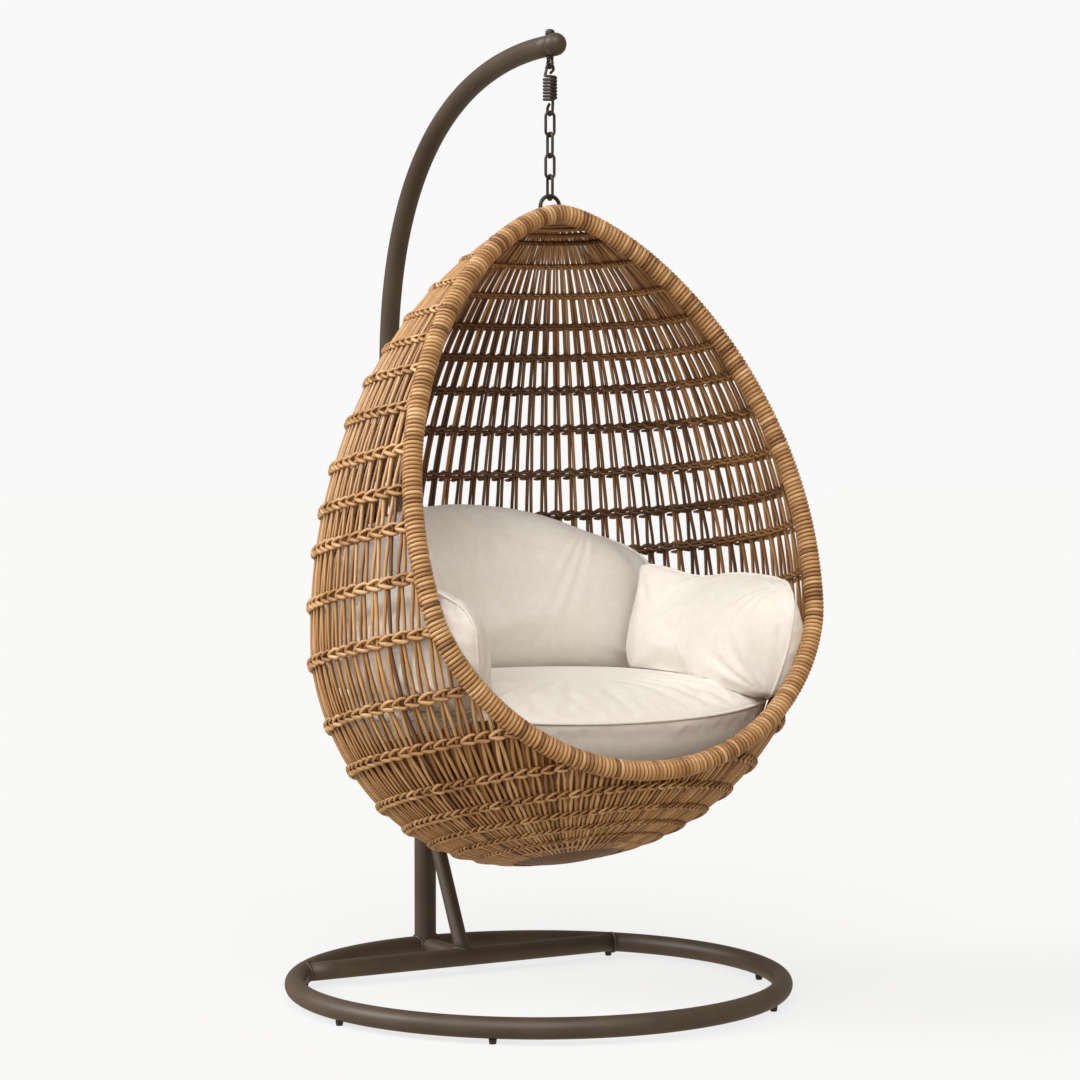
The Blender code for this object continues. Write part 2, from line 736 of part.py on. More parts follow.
def lofted(name, top, rounds, bottom, look):
    """A closed skin over rounds of points, from a top point down to a bottom one."""
    mesh = bpy.data.meshes.new(name)
    shape = bmesh.new()
    rows = [[shape.verts.new(point) for point in points] for points in rounds]
    for upper, lower in zip(rows, rows[1:]):
        for step in range(len(upper)):
            shape.faces.new((upper[step - 1], lower[step - 1], lower[step], upper[step]))
    for row, end in ((rows[0], top), (rows[-1], bottom)):
        pole = shape.verts.new(end)
        for step in range(len(row)):
            shape.faces.new((row[step - 1], row[step], pole))
    bmesh.ops.recalc_face_normals(shape, faces=shape.faces)
    shape.to_mesh(mesh)
    shape.free()
    return add(name, mesh, look)


def seat_outline(angle):
    """Place on the seat's unit outline, round at the back and with broad corners at the front."""
    across = math.sin(angle)
    back = math.cos(angle)
    power = 1.0 if back > 0 else 2 / SEAT_FRONT
    return math.copysign(abs(across) ** power, across), math.copysign(abs(back) ** power, back)


def seat_cushion():
    """Broad pad in the bowl of the basket: crowned on top, deeper below its piped edge.

    It reaches to the rim, or less far forward where the basket is narrow.
    """
    s = (EGG_TOP - SEAT_EDGE_HEIGHT) / EGG_HEIGHT
    y, _, radius, tilt = section(s)
    inside = radius - SEAT_CLEARANCE
    rim_side = opening_y(SEAT_EDGE_HEIGHT) + (RIM_TUBE + SEAT_CLEARANCE) / math.cos(OPENING_LEAN)
    front = max(rim_side, y - SEAT_REACH * inside)
    back = y + inside * math.cos(tilt)
    middle = (front + back) / 2
    half_depth = (back - front) / 2
    half_width = math.sqrt(inside**2 - (middle - y) ** 2)
    out = [math.sin(math.pi / 2 * step / SEAT_ROUNDS) for step in range(1, SEAT_ROUNDS + 1)]
    upper = [(r, SEAT_CROWN * math.sqrt(1 - r**SEAT_TOP_FULLNESS)) for r in out]
    lower = [(r, -SEAT_DEPTH * math.sqrt(1 - r**SEAT_BASE_FULLNESS)) for r in reversed(out[:-1])]
    turns = [2 * math.pi * step / SEAT_STEPS for step in range(SEAT_STEPS)]
    outline = [seat_outline(angle) for angle in turns]
    rounds = [
        [(half_width * x * r, half_depth * y * r, height) for x, y in outline] for r, height in upper + lower
    ]
    seat = lofted("seat_cushion", (0, 0, SEAT_CROWN), rounds, (0, 0, -SEAT_DEPTH), FABRIC)
    seat.location = (0, middle, SEAT_EDGE_HEIGHT)
    return seat


def wall_cushion(name, stations, place, spread, roundness, slump, depth_at, level=0.0):
    """Pillow against the wall of the basket, with sides drawn in between its rounded corners.

    depth_at gives its depth from the wall for a place across it, its swell there and its face.
    The rounds of the basket rise to the front, and level turns the pillow back to stand upright.
    roundness is that of the upper and of the lower corners, and slump moves the filling down.
    """
    mesh = bpy.data.meshes.new(name)
    shape = bmesh.new()
    bmesh.ops.create_cube(shape, size=2.0)
    bmesh.ops.subdivide_edges(shape, edges=shape.edges, cuts=CAGE_CUTS, use_grid_fill=True)
    middle, half = stations
    side = math.copysign(1.0, place)
    for vert in shape.verts:
        back, up, face = vert.co
        corner = roundness[0 if up > 0 else 1] / 2
        filled = math.sqrt((1 - back**4) * (1 - up**4)) * (1 - slump * up)
        swell = PIPED_EDGE + (1 - PIPED_EDGE) * filled
        wide = back * (1 - SIDE_DRAW_IN * (1 - up * up)) * math.sqrt(1 - corner * up * up)
        high = up * (1 - SIDE_DRAW_IN * (1 - back * back)) * math.sqrt(1 - corner * back * back)
        s = middle - half * high - level * wide
        angle = math.radians(place + side * spread * wide)
        vert.co = egg_point(s, angle, WALL_CLEARANCE + depth_at(wide, swell, face))
    if shape.calc_volume(signed=True) < 0:
        bmesh.ops.reverse_faces(shape, faces=shape.faces)
    shape.to_mesh(mesh)
    shape.free()
    cushion = add(name, mesh, FABRIC)
    rounded = cushion.modifiers.new("rounded", "SUBSURF")
    rounded.levels = 1
    rounded.render_levels = 1
    return cushion


def back_depth(_, swell, face):
    """The back cushion lies on the wall all the way across, and its front face swells."""
    return BACK_THICKNESS / 2 * swell * (1 - face)


def side_depth(wide, swell, face):
    """A side cushion swells both ways, and its back edge turns in from the wall."""
    return SIDE_TURN * (1 + wide) / 2 + SIDE_THICKNESS / 2 * (1 - swell * face)


def cushions():
    back = wall_cushion(
        "back_cushion", BACK_STATION, 180.0, BACK_ANGLE, BACK_ROUNDNESS, BACK_SLUMP, back_depth
    )
    sides = [
        wall_cushion(
            name, SIDE_STATION, place, SIDE_ANGLE, SIDE_ROUNDNESS, SIDE_SLUMP, side_depth, SIDE_LEVEL
        )
        for name, place in (("left_cushion", -SIDE_PLACE), ("right_cushion", SIDE_PLACE))
    ]
    return [seat_cushion(), back, *sides]


pole(post(*base()))
eye_bolt()
basket(chain(spring()))
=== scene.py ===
"""Looks of the hanging egg chair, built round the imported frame. Metres, +Z up, open front at -Y."""

import math

import bmesh
import bpy
import numpy as np
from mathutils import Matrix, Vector
from mathutils.bvhtree import BVHTree
from mathutils.geometry import interpolate_bezier


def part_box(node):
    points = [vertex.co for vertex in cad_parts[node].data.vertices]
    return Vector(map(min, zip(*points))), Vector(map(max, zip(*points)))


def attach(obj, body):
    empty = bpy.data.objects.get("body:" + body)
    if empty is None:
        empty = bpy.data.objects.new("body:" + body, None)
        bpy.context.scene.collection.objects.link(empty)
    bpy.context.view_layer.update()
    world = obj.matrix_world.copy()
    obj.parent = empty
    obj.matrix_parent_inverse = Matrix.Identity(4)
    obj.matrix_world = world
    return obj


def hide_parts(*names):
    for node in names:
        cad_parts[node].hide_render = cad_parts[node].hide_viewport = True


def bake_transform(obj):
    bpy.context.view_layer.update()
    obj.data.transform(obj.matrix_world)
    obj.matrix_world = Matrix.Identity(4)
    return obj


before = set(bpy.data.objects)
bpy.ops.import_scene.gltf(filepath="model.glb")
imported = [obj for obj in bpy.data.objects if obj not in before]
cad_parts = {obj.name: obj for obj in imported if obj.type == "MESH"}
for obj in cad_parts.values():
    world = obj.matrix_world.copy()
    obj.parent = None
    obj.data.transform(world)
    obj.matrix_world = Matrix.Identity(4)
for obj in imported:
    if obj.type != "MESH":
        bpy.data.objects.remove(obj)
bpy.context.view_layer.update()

RANDOM = np.random.default_rng(11)


def middle_of(node):
    low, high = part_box(node)
    return (Vector(low) + Vector(high)) / 2


# Places taken from the frame
RING_Y = middle_of("base_ring").y
RING_Z = middle_of("base_ring").z
HANG_Y = middle_of("basket_eye").y

# Stand
RING_RADIUS = 0.50
RING_TUBE = 0.021
CROSS_TUBE = 0.0195
CROSS_BACK = 0.322
CROSS_Y = RING_Y + CROSS_BACK
LINK_TUBE = 0.018
POST_Y = RING_Y + RING_RADIUS
POST_TUBE = 0.0238
POST_TOP = 0.45
POST_WALL = 0.002
BRACE_TUBE = 0.016
BRACE_TOP = 0.37
POLE_TUBE = 0.0215
BEND_START = 0.50
BEND_REACH = 0.30
POLE_BACK = 0.672
POLE_BACK_HEIGHT = 1.30
POLE_BACK_REACH = (0.35, 0.45)
POLE_TIP_HEIGHT = 1.94
POLE_TIP_REACH = 0.39
TIP_STRAIGHT = 0.045
TIP_OVERHANG = 0.020
SOCKET_BOTTOM = 0.20
WELD_BEAD = 0.0038
WELD_RIPPLES = 18
WELD_RIPPLE = 0.10
WELD_SEARCH = 0.12
WELD_HALVINGS = 30
WELD_ASKEW = (0.3, 0.4, 0.86)
WELD_STEPS = 72
WELD_SIDES = 10
TUBE_SIDES = 32
TUBE_STEPS = 12
RING_STEPS = 256
POLE_STEPS = (40, 70)
POST_SIDES = 48
TURNED_SIDES = 40
SHARP_ANGLE = 40.0
EDGE = 0.0006
FINE_EDGE = 0.0004
CAP_WALL = 0.002
CAP_SKIRT = 0.007
CAP_PLAY = 0.0002
BOLTS = 2
BOLT_HEAD = 0.0075
BOLT_RIM = 0.001
BOLT_DOME = 0.004
BOLT_SHANK = 0.004
BOLT_DEPTH = 0.01
FEET = 6
# (radius, height) points from the top down
FOOT_OUTLINE = (
    (0, 0.018), (0.004, 0.018), (0.004, 0.0097), (0.0076, 0.0097), (0.008, 0.0092), (0.0066, 0.0006),
    (0.006, 0), (0, 0),
)

# Hanging gear
WIRE_SIDES = 14
SPRING_WIRE = 0.003
SPRING_SIDES = 12
COIL_RADIUS = 0.012
COIL_TURNS = 7.25
COIL_PITCH = 0.0067
COIL_STEPS = 24
TOP_LOOP = 0.008
BOTTOM_LOOP = 0.0105
LOOP_OPENING = 50.0
LOOP_LEAD = 0.2
LOOP_STEPS = 25
LINK_WIRE = 0.003
LINK_LENGTH = 0.055
LINK_WIDTH = 0.026
LINKS = 4
LINK_STEPS = 17
BASKET_EYE_WIRE = 0.004
BASKET_EYE_WIDTH = 0.053
BASKET_EYE_STEPS = 25
EYE_RADIUS = 0.0085
EYE_WIRE = 0.0035
EYE_STEPS = 40
SHANK_RADIUS = 0.004
SHOULDER_RADIUS = 0.0075
SHOULDER_LENGTH = 0.006
SHOULDER_FOOT = (0.0055, 0.003)
WASHER_RADIUS = 0.0105
NUT_RADIUS = 0.0095
NUT_DOME = 0.6
GAP = 0.0003
EYE_Z = POLE_TIP_HEIGHT - POLE_TUBE - GAP - SHOULDER_LENGTH - EYE_RADIUS
SPRING_Z = EYE_Z - EYE_RADIUS + EYE_WIRE + SPRING_WIRE + GAP

# Egg basket
EGG_TOP = 1.598
EGG_HEIGHT = 1.299
EGG_RADIUS = 0.508
EGG_WIDEST = 0.651
UPPER_FULLNESS = (2.09, 1.56)
LOWER_FULLNESS = (1.65, 2.52)
EGG_FORWARD = (0.024, 0.0462, 0.075)
ROW_TILT = (2.0, 15.3)
ROW_BOW = 0.5
OPENING_TOP = 0.039
OPENING_LIP = 0.413
OPENING_DROP = 1.10
OPENING_BOW = 0.009
OPENING_HALVINGS = 40
OPENING_STEPS = 401
EGG_STEPS = 801
OPENING_LEAN = math.atan((OPENING_LIP - OPENING_TOP) / OPENING_DROP)
CROWN_RADIUS = 0.066
HUB_RADIUS = 0.112

# Canes: stakes in pairs down the egg, braided rows round it, and the wrapped rim
PAIRS = 91
CANE = 0.0037
CANE_SIDES = 8
# Painted shade: how much darker the flanks of every cane are, and how far round a cane its darker inner side
# reaches
PAINTED_FLANK_SHADE = 0.42
INNER_SIDE = 0.3
GRAIN_SHIFT = 0.37
STAKE_TOP = 0.016
STAKE_STEP = 0.022
ROW_RUNS = (
    0.111, 0.139, 0.213, 0.295, 0.373, 0.447, 0.522, 0.608, 0.702, 0.788, 0.866,
    0.970, 1.081, 1.206, 1.305, 1.400, 1.470, 1.530, 1.582, 1.630, 1.672,
)
ROW_REACH = 0.009
PAIR_TIGHT = 0.0073
BACK_SPLAY = ((0.40, 0.0074), (0.70, 0.0086), (1.05, 0.0115), (1.20, 0.0160))
SIDE_SPLAY = ((0.30, 0.0084), (0.55, 0.0110), (0.80, 0.0152), (1.05, 0.0174))
SIDE_ANGLES = (100.0, 150.0)
LEAF_RUNS = (0.80, 1.15)
LEAF_SWELL = 0.26
LEAF_NECK = 0.3
TOP_RUNS = (0.13, 0.24)
TOP_COVER = (0.30, 0.19)
LOW_COVER = 0.62
INSERTED_RUN = 1.27
INSERTED = ((0.5, 0.0085), (0.0, 0.0135))
INSERTED_SIZE = 1.75
INSERTED_SIDES = 6
BACKING = 0.0045
BACKING_IN = 0.3
BACKING_FADE = 0.02
FULL_PITCH = 0.031
MILLIMETRE = 0.001
ROPE = 0.0036
ROPE_LIFT = 0.0012
ROPE_SLOPE = 0.010
ROPE_SIDES = 8
ROPE_LEAST = 0.72
ROPE_OUT = 0.0068
# Places along a pitch, with their rise as a share of ROPE and their depth as a share of ROPE_OUT
ROPE_LOW = (
    (-0.40, -1.0, 1.0), (-0.22, -1.1, 1.15), (0.0, 0.1, 1.65), (0.20, 1.5, 1.35), (0.36, 1.35, 1.05),
)
ROPE_HIGH = (
    (-0.40, 1.0, 1.0), (-0.20, 0.9, 0.9), (0.0, 0.0, 0.75), (0.20, -0.9, 0.9), (0.36, -1.0, 1.0),
)
# Places along a pitch, with their rise, their distance out and their half width in millimetres
CHEVRON = (
    (0.62, 5.0, -0.8, 1.7), (0.48, 8.0, 2.6, 2.8), (0.26, 9.4, 5.8, 3.5), (0.02, 7.0, 8.0, 3.7),
    (-0.18, 4.2, 9.0, 3.6), (-0.33, 1.4, 9.2, 3.6), (-0.38, -1.0, 9.0, 3.6), (-0.30, -3.2, 9.2, 4.0),
    (-0.08, -5.6, 9.2, 4.7), (0.16, -8.2, 8.2, 4.8), (0.40, -10.0, 5.6, 4.0), (0.64, -8.6, 0.2, 2.3),
)
CHEVRON_THICK = 0.0034
CHEVRON_LEAST = 0.3
CHEVRON_FULL = 2.8
CHEVRON_EDGE = 0.3
# Painted shade on the inner sides of canes: where it starts and is full behind the opening, and how dark it
# gets
DEEP = (0.15, 0.45)
DEEP_SHADE = 0.40
HOOP_INSIDE = 0.003
HOOP_HIGH = 0.0062
HOOP_THICK = 0.0056
HOOP_SIDES = 10
HOOP_STEPS = 96
CROWN_COIL = 0.082
CROWN_RISE = 0.006
HUB_RISE = -0.012
FLAT_COIL_LAY = 1.9
FLAT_COIL_START = 0.04
FLAT_COIL_STEPS = 40
RIM_TURNS = 380
RIM_CORE = 0.0150
RIM_CORE_SIDES = 12
RIM_CORE_STEPS = 240
RIM_CENTRE = 0.0158
RIM_ACROSS = 0.0043
RIM_OUT = 0.0041
RIM_SIDES = 8
RIM_STEPS = 20

# Tones of canes from dark to light, as a mean and a spread, and how unevenly the canes lie
STAKE_TONE = (0.66, 0.14)
INSERTED_TONE = (0.4, 0.1)
ROPE_TONE = (0.5, 0.1)
CHEVRON_TONE = (0.68, 0.12)
COIL_TONE = (0.45, 0.15)
HOOP_TONE = 0.55
RIM_TONE_RANGE = (0.3, 1.0)
TURN_WOBBLE = 0.0008
SPLAY_WOBBLE = 0.05
PATH_WOBBLE = 0.0003
SIZE_WOBBLE = 0.03
CHEVRON_WOBBLE = (0.001, 0.08, 0.4)

# Cushions
SEAT_EDGE = 0.600
SEAT_CROWN = 0.064
SEAT_DEPTH = 0.15
SEAT_TOP_FULLNESS = 3
SEAT_BASE_FULLNESS = 6
SEAT_FRONT = 2.6
SEAT_ROUNDS = 24
SEAT_STEPS = 96
SEAT_BOW = 4.5
WALL_CLEARANCE = 0.012
SIDE_DRAW_IN = 0.05
PILLOW_CUTS = 31
PIPING = 0.0032
PIPING_SIDES = 8
PIPING_RISE = 0.5
PIPING_SMOOTHING = 4
SEAM_HOLD = 0.010
SEAM_STEPS = 60
SEAT_DROOP = 0.006
SEAT_DROOP_FROM = (0.3, 0.9)
PUFF_FRAMES = 20
PUFF_WALL = 0.006
WALL_FACING = 0.35
TOP_FACING = 0.3
CLOTH_QUALITY = 5
CLOTH_MASS = 0.3
CLOTH_STRETCH = 12
CLOTH_SHEAR = 6
CLOTH_SMOOTHING = 6
CLEARANCE = 0.0012
CLEAR_REACH = 0.08
CORNER_FOLDS = 6
CORNER_FOLD = 0.0028
CORNER_REACH = (0.055, 0.045)
SEAT_FOLDS = (14.0, 74.0, 8)
SEAT_FOLD = 0.0060
SEAT_FOLD_SWEEP = 16.0
SEAT_FOLD_START = (0.40, 0.72)
SEAT_FOLD_END = (0.93, 1.02)
SIDE_PLACE = 87.0
# Pillows lie against the wall, about stations down the egg and an angle round it. They have roundness at
# their front, rear and lower corners, droop all round and at the front, and sag by a depth at a place along
# the top. The values from cell on are for their cloth and filling.
BACK = dict(
    stations=(0.553, 0.133), place=180.0, spread=58.0, roundness=(1.25, 1.25, 0.3), droop=(0.16, 0.0),
    lean=0.0, height=1.0, sag=(0.0, 0.0, 1.0), slump=0.1, top=4.0, thickness=0.19, level=0.0, turn=0.0,
    edge=0.12, flat_back=True, cell=0.008, pressure=4.0, growth=0.004, stiffness=2.0, reach=0.018,
    calm=14, fill=0.7,
)
SIDE = dict(
    stations=(0.6465, 0.090), spread=38.0, roundness=(1.0, 0.15, 0.5), droop=(0.17, 0.22), lean=0.09,
    height=0.97, sag=(0.13, 0.35, 0.42), slump=0.55, top=3.0, thickness=0.18, to_wall=0.7, level=0.034,
    turn=0.060, edge=0.08, flat_back=False, cell=0.007, pressure=4.0, growth=0.02, stiffness=0.5,
    reach=0.016, calm=3, fill=0.7,
)
SEAT = dict(cell=0.008, pressure=4.0, growth=0.01, stiffness=0.5, reach=0.006, calm=3, fill=0.75)

# Studio
WHITE = 0.945
KEY = 2.5
KEY_FROM = (-114.0, 31.0)
KEY_SPREAD = 30.0
FRONT = 2.5
FRONT_FROM = (-35.0, 44.0)
FRONT_SPREAD = 55.0
FILL = (0.292, 0.244, 0.192)
FILL_BELOW = 2.1
FILL_RISE = 0.4
FLOOR_GLOW = 0.77
FLOOR_SIZE = 60.0
CAMERA_LENS = 97.71
CAMERA_SENSOR = 36.0
CAMERA_PLACE = (-3.0, -5.19615, 1.1266)
CAMERA_TILT = 88.194
CAMERA_TURN = -30.026


# Swept shapes


def unit(vectors):
    return vectors / np.maximum(np.linalg.norm(vectors, axis=-1, keepdims=True), 1e-12)


def tangents(points, closed):
    if closed:
        return unit(np.roll(points, -1, axis=0) - np.roll(points, 1, axis=0))
    return unit(np.gradient(points, axis=0))


def turned_about(vectors, axis, angle):
    """Vectors turned about an axis square to them."""
    return vectors * np.cos(angle) + np.cross(axis, vectors) * np.sin(angle)


def carried(points, closed=False):
    """Directions square to a path, carried along it without twist, and closing where the path does."""
    along = tangents(points, closed)
    least = np.eye(3)[np.argmin(np.abs(along[0]))]
    normals = [unit(np.cross(along[0], least))]
    for direction in along[1:]:
        last = normals[-1]
        normals.append(unit(last - direction * (last @ direction)))
    normals = np.array(normals)
    if closed:
        back = unit(normals[-1] - along[0] * (normals[-1] @ along[0]))
        twist = math.atan2(np.cross(back, normals[0]) @ along[0], back @ normals[0])
        turn = twist * np.arange(len(points))[:, None] / len(points)
        normals = turned_about(normals, along, turn)
    return normals


def run_along(points):
    """Length along a path to each of its points."""
    return np.concatenate([[0], np.cumsum(np.linalg.norm(np.diff(points, axis=0), axis=1))])


class Strands:
    """Round strands gathered into one mesh, with a tone for each and the grain's direction along them."""

    def __init__(self):
        self.points = []
        self.grain = []
        self.tone = []
        self.quads = []
        self.caps = []
        self.cells = []
        self.count = 0
        self.laid = 0

    def add(self, points, normals, across, out, sides, tone=0.5, closed=False, shade=0.0):
        """One strand along points: half as wide as across, and half as thick as out along its normals.

        Painted shade: the side away from the normals is darker by shade, and both flanks by a fixed amount.
        """
        points = np.asarray(points, float)
        rings = len(points)
        along = tangents(points, closed)
        normals = unit(normals - along * np.sum(normals * along, axis=1, keepdims=True))
        wide = np.cross(along, normals)
        angles = 2 * math.pi * np.arange(sides) / sides
        across = np.broadcast_to(across, rings)[:, None, None]
        out = np.broadcast_to(out, rings)[:, None, None]
        turn = angles[None, :, None]
        skin = points[:, None] + across * np.cos(turn) * wide[:, None] + out * np.sin(turn) * normals[:, None]
        self.points.append(skin.reshape(-1, 3))

        run = run_along(points)
        grain = np.empty((rings, sides, 3))
        grain[..., 0] = np.cos(angles)
        grain[..., 1] = np.sin(angles)
        grain[..., 2] = run[:, None] + self.count * GRAIN_SHIFT
        self.grain.append(grain.reshape(-1, 3))
        tone = np.broadcast_to(tone, rings)[:, None]
        # Painted shade in the tone: the inner side darker by shade, and both flanks darker by a fixed amount
        inner = np.clip(INNER_SIDE - np.sin(angles), 0, 1)[None]
        painted_flank_shade = PAINTED_FLANK_SHADE * np.cos(angles)[None] ** 4
        self.tone.append((tone - np.broadcast_to(shade, rings)[:, None] * inner - painted_flank_shade).ravel())

        start = self.count
        ring = start + np.arange(rings if closed else rings - 1)[:, None] * sides
        ahead = start + (np.arange(1, len(ring) + 1) % rings)[:, None] * sides
        here = np.arange(sides)[None]
        beside = (here + 1) % sides
        quads = np.stack([ring + here, ahead + here, ahead + beside, ring + beside], axis=-1)
        self.quads.append(quads.reshape(-1, 4))
        cell = self.laid + np.arange(len(ring))
        self.cells.append(np.stack([np.repeat(cell, sides), np.tile(here[0], len(ring))], axis=1))
        self.laid += len(ring)
        if not closed:
            self.caps.append((start + np.arange(sides), cell[0]))
            self.caps.append((start + (rings - 1) * sides + np.arange(sides)[::-1], cell[-1]))
        self.count += rings * sides
        self.sides = sides
        self.length = run[-1] / len(ring)
        self.girth = 2 * math.pi * float(np.mean(out))

    def mesh(self, name):
        mesh = bpy.data.meshes.new(name)
        points = np.concatenate(self.points)
        quads = np.concatenate(self.quads)
        ends = np.concatenate([corners for corners, _ in self.caps]) if self.caps else np.empty(0, int)
        loops = np.concatenate([quads.ravel(), ends])
        sides_of_ends = [len(corners) for corners, _ in self.caps]
        totals = np.concatenate([np.full(len(quads), 4), sides_of_ends]).astype(int)
        mesh.vertices.add(len(points))
        mesh.vertices.foreach_set("co", points.ravel())
        mesh.loops.add(len(loops))
        mesh.loops.foreach_set("vertex_index", loops)
        mesh.polygons.add(len(totals))
        mesh.polygons.foreach_set("loop_start", np.concatenate([[0], np.cumsum(totals)[:-1]]))
        mesh.update(calc_edges=True)
        mesh.shade_smooth()
        mesh.attributes.new("grain", "FLOAT_VECTOR", "POINT").data.foreach_set(
            "vector", np.concatenate(self.grain).ravel()
        )
        mesh.attributes.new("tone", "FLOAT", "POINT").data.foreach_set("value", np.concatenate(self.tone))
        mesh.uv_layers.new(name="OFBake").data.foreach_set("uv", self.unwrapped().ravel())
        mesh.validate()
        return mesh

    def unwrapped(self):
        """Strips of skin laid side by side, so that a bake has room for every strand."""
        lines = max(1, round(math.sqrt(self.laid * self.length / self.girth)))
        columns = math.ceil(self.laid / lines)

        def placed(cell, side, ahead, beside):
            u = (cell % columns + ahead) / columns
            v = (cell // columns + 0.1 + 0.8 * (side + beside) / self.sides) / lines
            return np.stack([u, v], axis=-1)

        cells = np.concatenate(self.cells)
        corners = ((0, 0), (1, 0), (1, 1), (0, 1))
        skin = np.stack([placed(cells[:, 0], cells[:, 1], *corner) for corner in corners], axis=1)
        parts = [skin.reshape(-1, 2)]
        for ring, cell in self.caps:
            turn = 2 * math.pi * np.arange(len(ring)) / len(ring)
            ahead = 0.5 + 0.4 * np.cos(turn)
            side = self.sides * (0.5 + 0.3 * np.sin(turn))
            parts.append(placed(np.full(len(ring), cell), side, ahead, 0))
        return np.concatenate(parts)


def put(name, mesh, look, body, slot, *nodes):
    """Show a mesh as a piece that rides a body and stands for CAD nodes."""
    obj = bpy.data.objects.new(name, mesh)
    bpy.context.scene.collection.objects.link(obj)
    mesh.materials.clear()
    mesh.materials.append(look)
    if body:
        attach(obj, body)
    if nodes:
        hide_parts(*nodes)
    return obj


def swept(points, radius, sides, closed=False):
    """A plain round tube along points."""
    strands = Strands()
    points = np.array([tuple(point) for point in points], float)
    strands.add(points, carried(points, closed), radius, radius, sides, closed=closed)
    return strands


def turned(name, profile, steps):
    """A profile of (radius, height) points, from the top down the outer side, turned about Z."""
    profile = np.array(profile, float)
    turn = 2 * math.pi * np.arange(steps) / steps
    ring = np.stack([np.cos(turn), np.sin(turn)], axis=1)
    mesh = bpy.data.meshes.new(name)
    shape = bmesh.new()
    rows = [[shape.verts.new((*(radius * xy), height)) for xy in ring] for radius, height in profile]
    for upper, lower in zip(rows, rows[1:]):
        for step in range(steps):
            after = (step + 1) % steps
            shape.faces.new((upper[step], lower[step], lower[after], upper[after]))
    bmesh.ops.remove_doubles(shape, verts=shape.verts, dist=1e-6)
    bmesh.ops.recalc_face_normals(shape, faces=shape.faces)
    shape.to_mesh(mesh)
    shape.free()
    mesh.shade_smooth()
    mesh.set_sharp_from_angle(angle=math.radians(SHARP_ANGLE))
    return mesh


def turned_piece(name, outline, place, turn, look, slot, *nodes, sides=TURNED_SIDES):
    """Show a turned shape, set in its place, as a piece of the stand."""
    made = put(name, turned(name, outline, sides), look, None, slot)
    made.location = place
    made.rotation_euler = turn
    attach(made, "stand")
    if nodes:
        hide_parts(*nodes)


# The egg, as arrays over s, from 0 at the top to 1 at the bottom, and angle, from 0 at the front


def section(s):
    """Middle y and z, radius and tilt of the round at s."""
    top, half, bottom = EGG_FORWARD
    forward = top + (4 * half - 3 * top - bottom) * s + (2 * top - 4 * half + 2 * bottom) * s * s
    tilt = np.radians(ROW_TILT[0] + (ROW_TILT[1] - ROW_TILT[0]) * s)
    above = s < EGG_WIDEST
    away = np.abs(s - EGG_WIDEST) / np.where(above, EGG_WIDEST, 1 - EGG_WIDEST)
    power = np.where(above, UPPER_FULLNESS[0], LOWER_FULLNESS[0])
    root = np.where(above, UPPER_FULLNESS[1], LOWER_FULLNESS[1])
    radius = EGG_RADIUS * np.maximum(1 - away**power, 0) ** (1 / root)
    return HANG_Y - forward, EGG_TOP - EGG_HEIGHT * s, radius, tilt


def egg(s, angle, out=0.0):
    """Points on the egg, moved out by a distance."""
    s, angle = np.broadcast_arrays(np.asarray(s, float), np.asarray(angle, float))
    y, z, radius, tilt = section(s)
    radius = radius + out
    ahead = np.cos(angle)
    rise = np.sin(tilt) * (ahead + ROW_BOW * (1 - s) * ahead**2)
    return np.stack([radius * np.sin(angle), y - radius * ahead * np.cos(tilt), z + radius * rise], axis=-1)


def egg_axes(s, angle):
    """Directions at places on the egg: out of it, down it and round it."""
    step = 1e-4
    down = unit(egg(s + step, angle) - egg(s - step, angle))
    beside = unit(egg(s, angle + step) - egg(s, angle - step))
    return unit(np.cross(down, beside)), down, beside


def behind_opening(points):
    """How far points lie behind the leaning front of the basket."""
    down = (EGG_TOP - points[..., 2]) / OPENING_DROP
    reach = OPENING_TOP + (OPENING_LIP - OPENING_TOP) * down + OPENING_BOW * 4 * down * (1 - down)
    return (points[..., 1] - HANG_Y + reach) * math.cos(OPENING_LEAN)


def opening_angle(s):
    """Angle from the front at which the rounds at s meet the opening, 0 where all of one is behind it."""
    s = np.asarray(s, float)
    low = np.full(s.shape, math.pi)
    high = np.zeros(s.shape)
    for _ in range(OPENING_HALVINGS):
        half = (low + high) / 2
        behind = behind_opening(egg(s, half)) > 0
        low = np.where(behind, half, low)
        high = np.where(behind, high, half)
    return np.where(behind_opening(egg(s, np.zeros(s.shape))) > 0, 0.0, (low + high) / 2)


STATIONS = (1 - np.cos(np.linspace(0, math.pi, EGG_STEPS))) / 2
_, HEIGHTS, ROUNDS, _ = section(STATIONS)
RUNS = np.concatenate([[0], np.cumsum(np.hypot(np.diff(ROUNDS), np.diff(HEIGHTS)))])


def station_at(run):
    return np.interp(run, RUNS, STATIONS)


def first_run_with(radius, top):
    """Length down the egg's side to where it has a radius, in its upper or its lower part."""
    wide = int(np.argmax(ROUNDS))
    if top:
        return float(np.interp(radius, ROUNDS[:wide], RUNS[:wide]))
    return float(np.interp(-radius, -ROUNDS[wide:], RUNS[wide:]))


CROWN_RUN = first_run_with(CROWN_RADIUS, True)
HUB_RUN = first_run_with(HUB_RADIUS, False)


# Materials


def new_material(name, colour, roughness, metallic=0.0):
    made = bpy.data.materials.new(name)
    made.use_nodes = True
    shader = made.node_tree.nodes["Principled BSDF"]
    shader.inputs["Base Color"].default_value = (*colour, 1.0)
    shader.inputs["Roughness"].default_value = roughness
    shader.inputs["Metallic"].default_value = metallic
    return made, made.node_tree, shader


def node(tree, kind, **values):
    """A new node, with sockets given by name and settings given by attribute."""
    made = tree.nodes.new(kind)
    for key, value in values.items():
        if key in made.inputs:
            made.inputs[key].default_value = value
        else:
            setattr(made, key, value)
    return made


def noise(tree, vector, **values):
    made = node(tree, "ShaderNodeTexNoise", **values)
    tree.links.new(vector, made.inputs["Vector"])
    return made.outputs["Fac"]


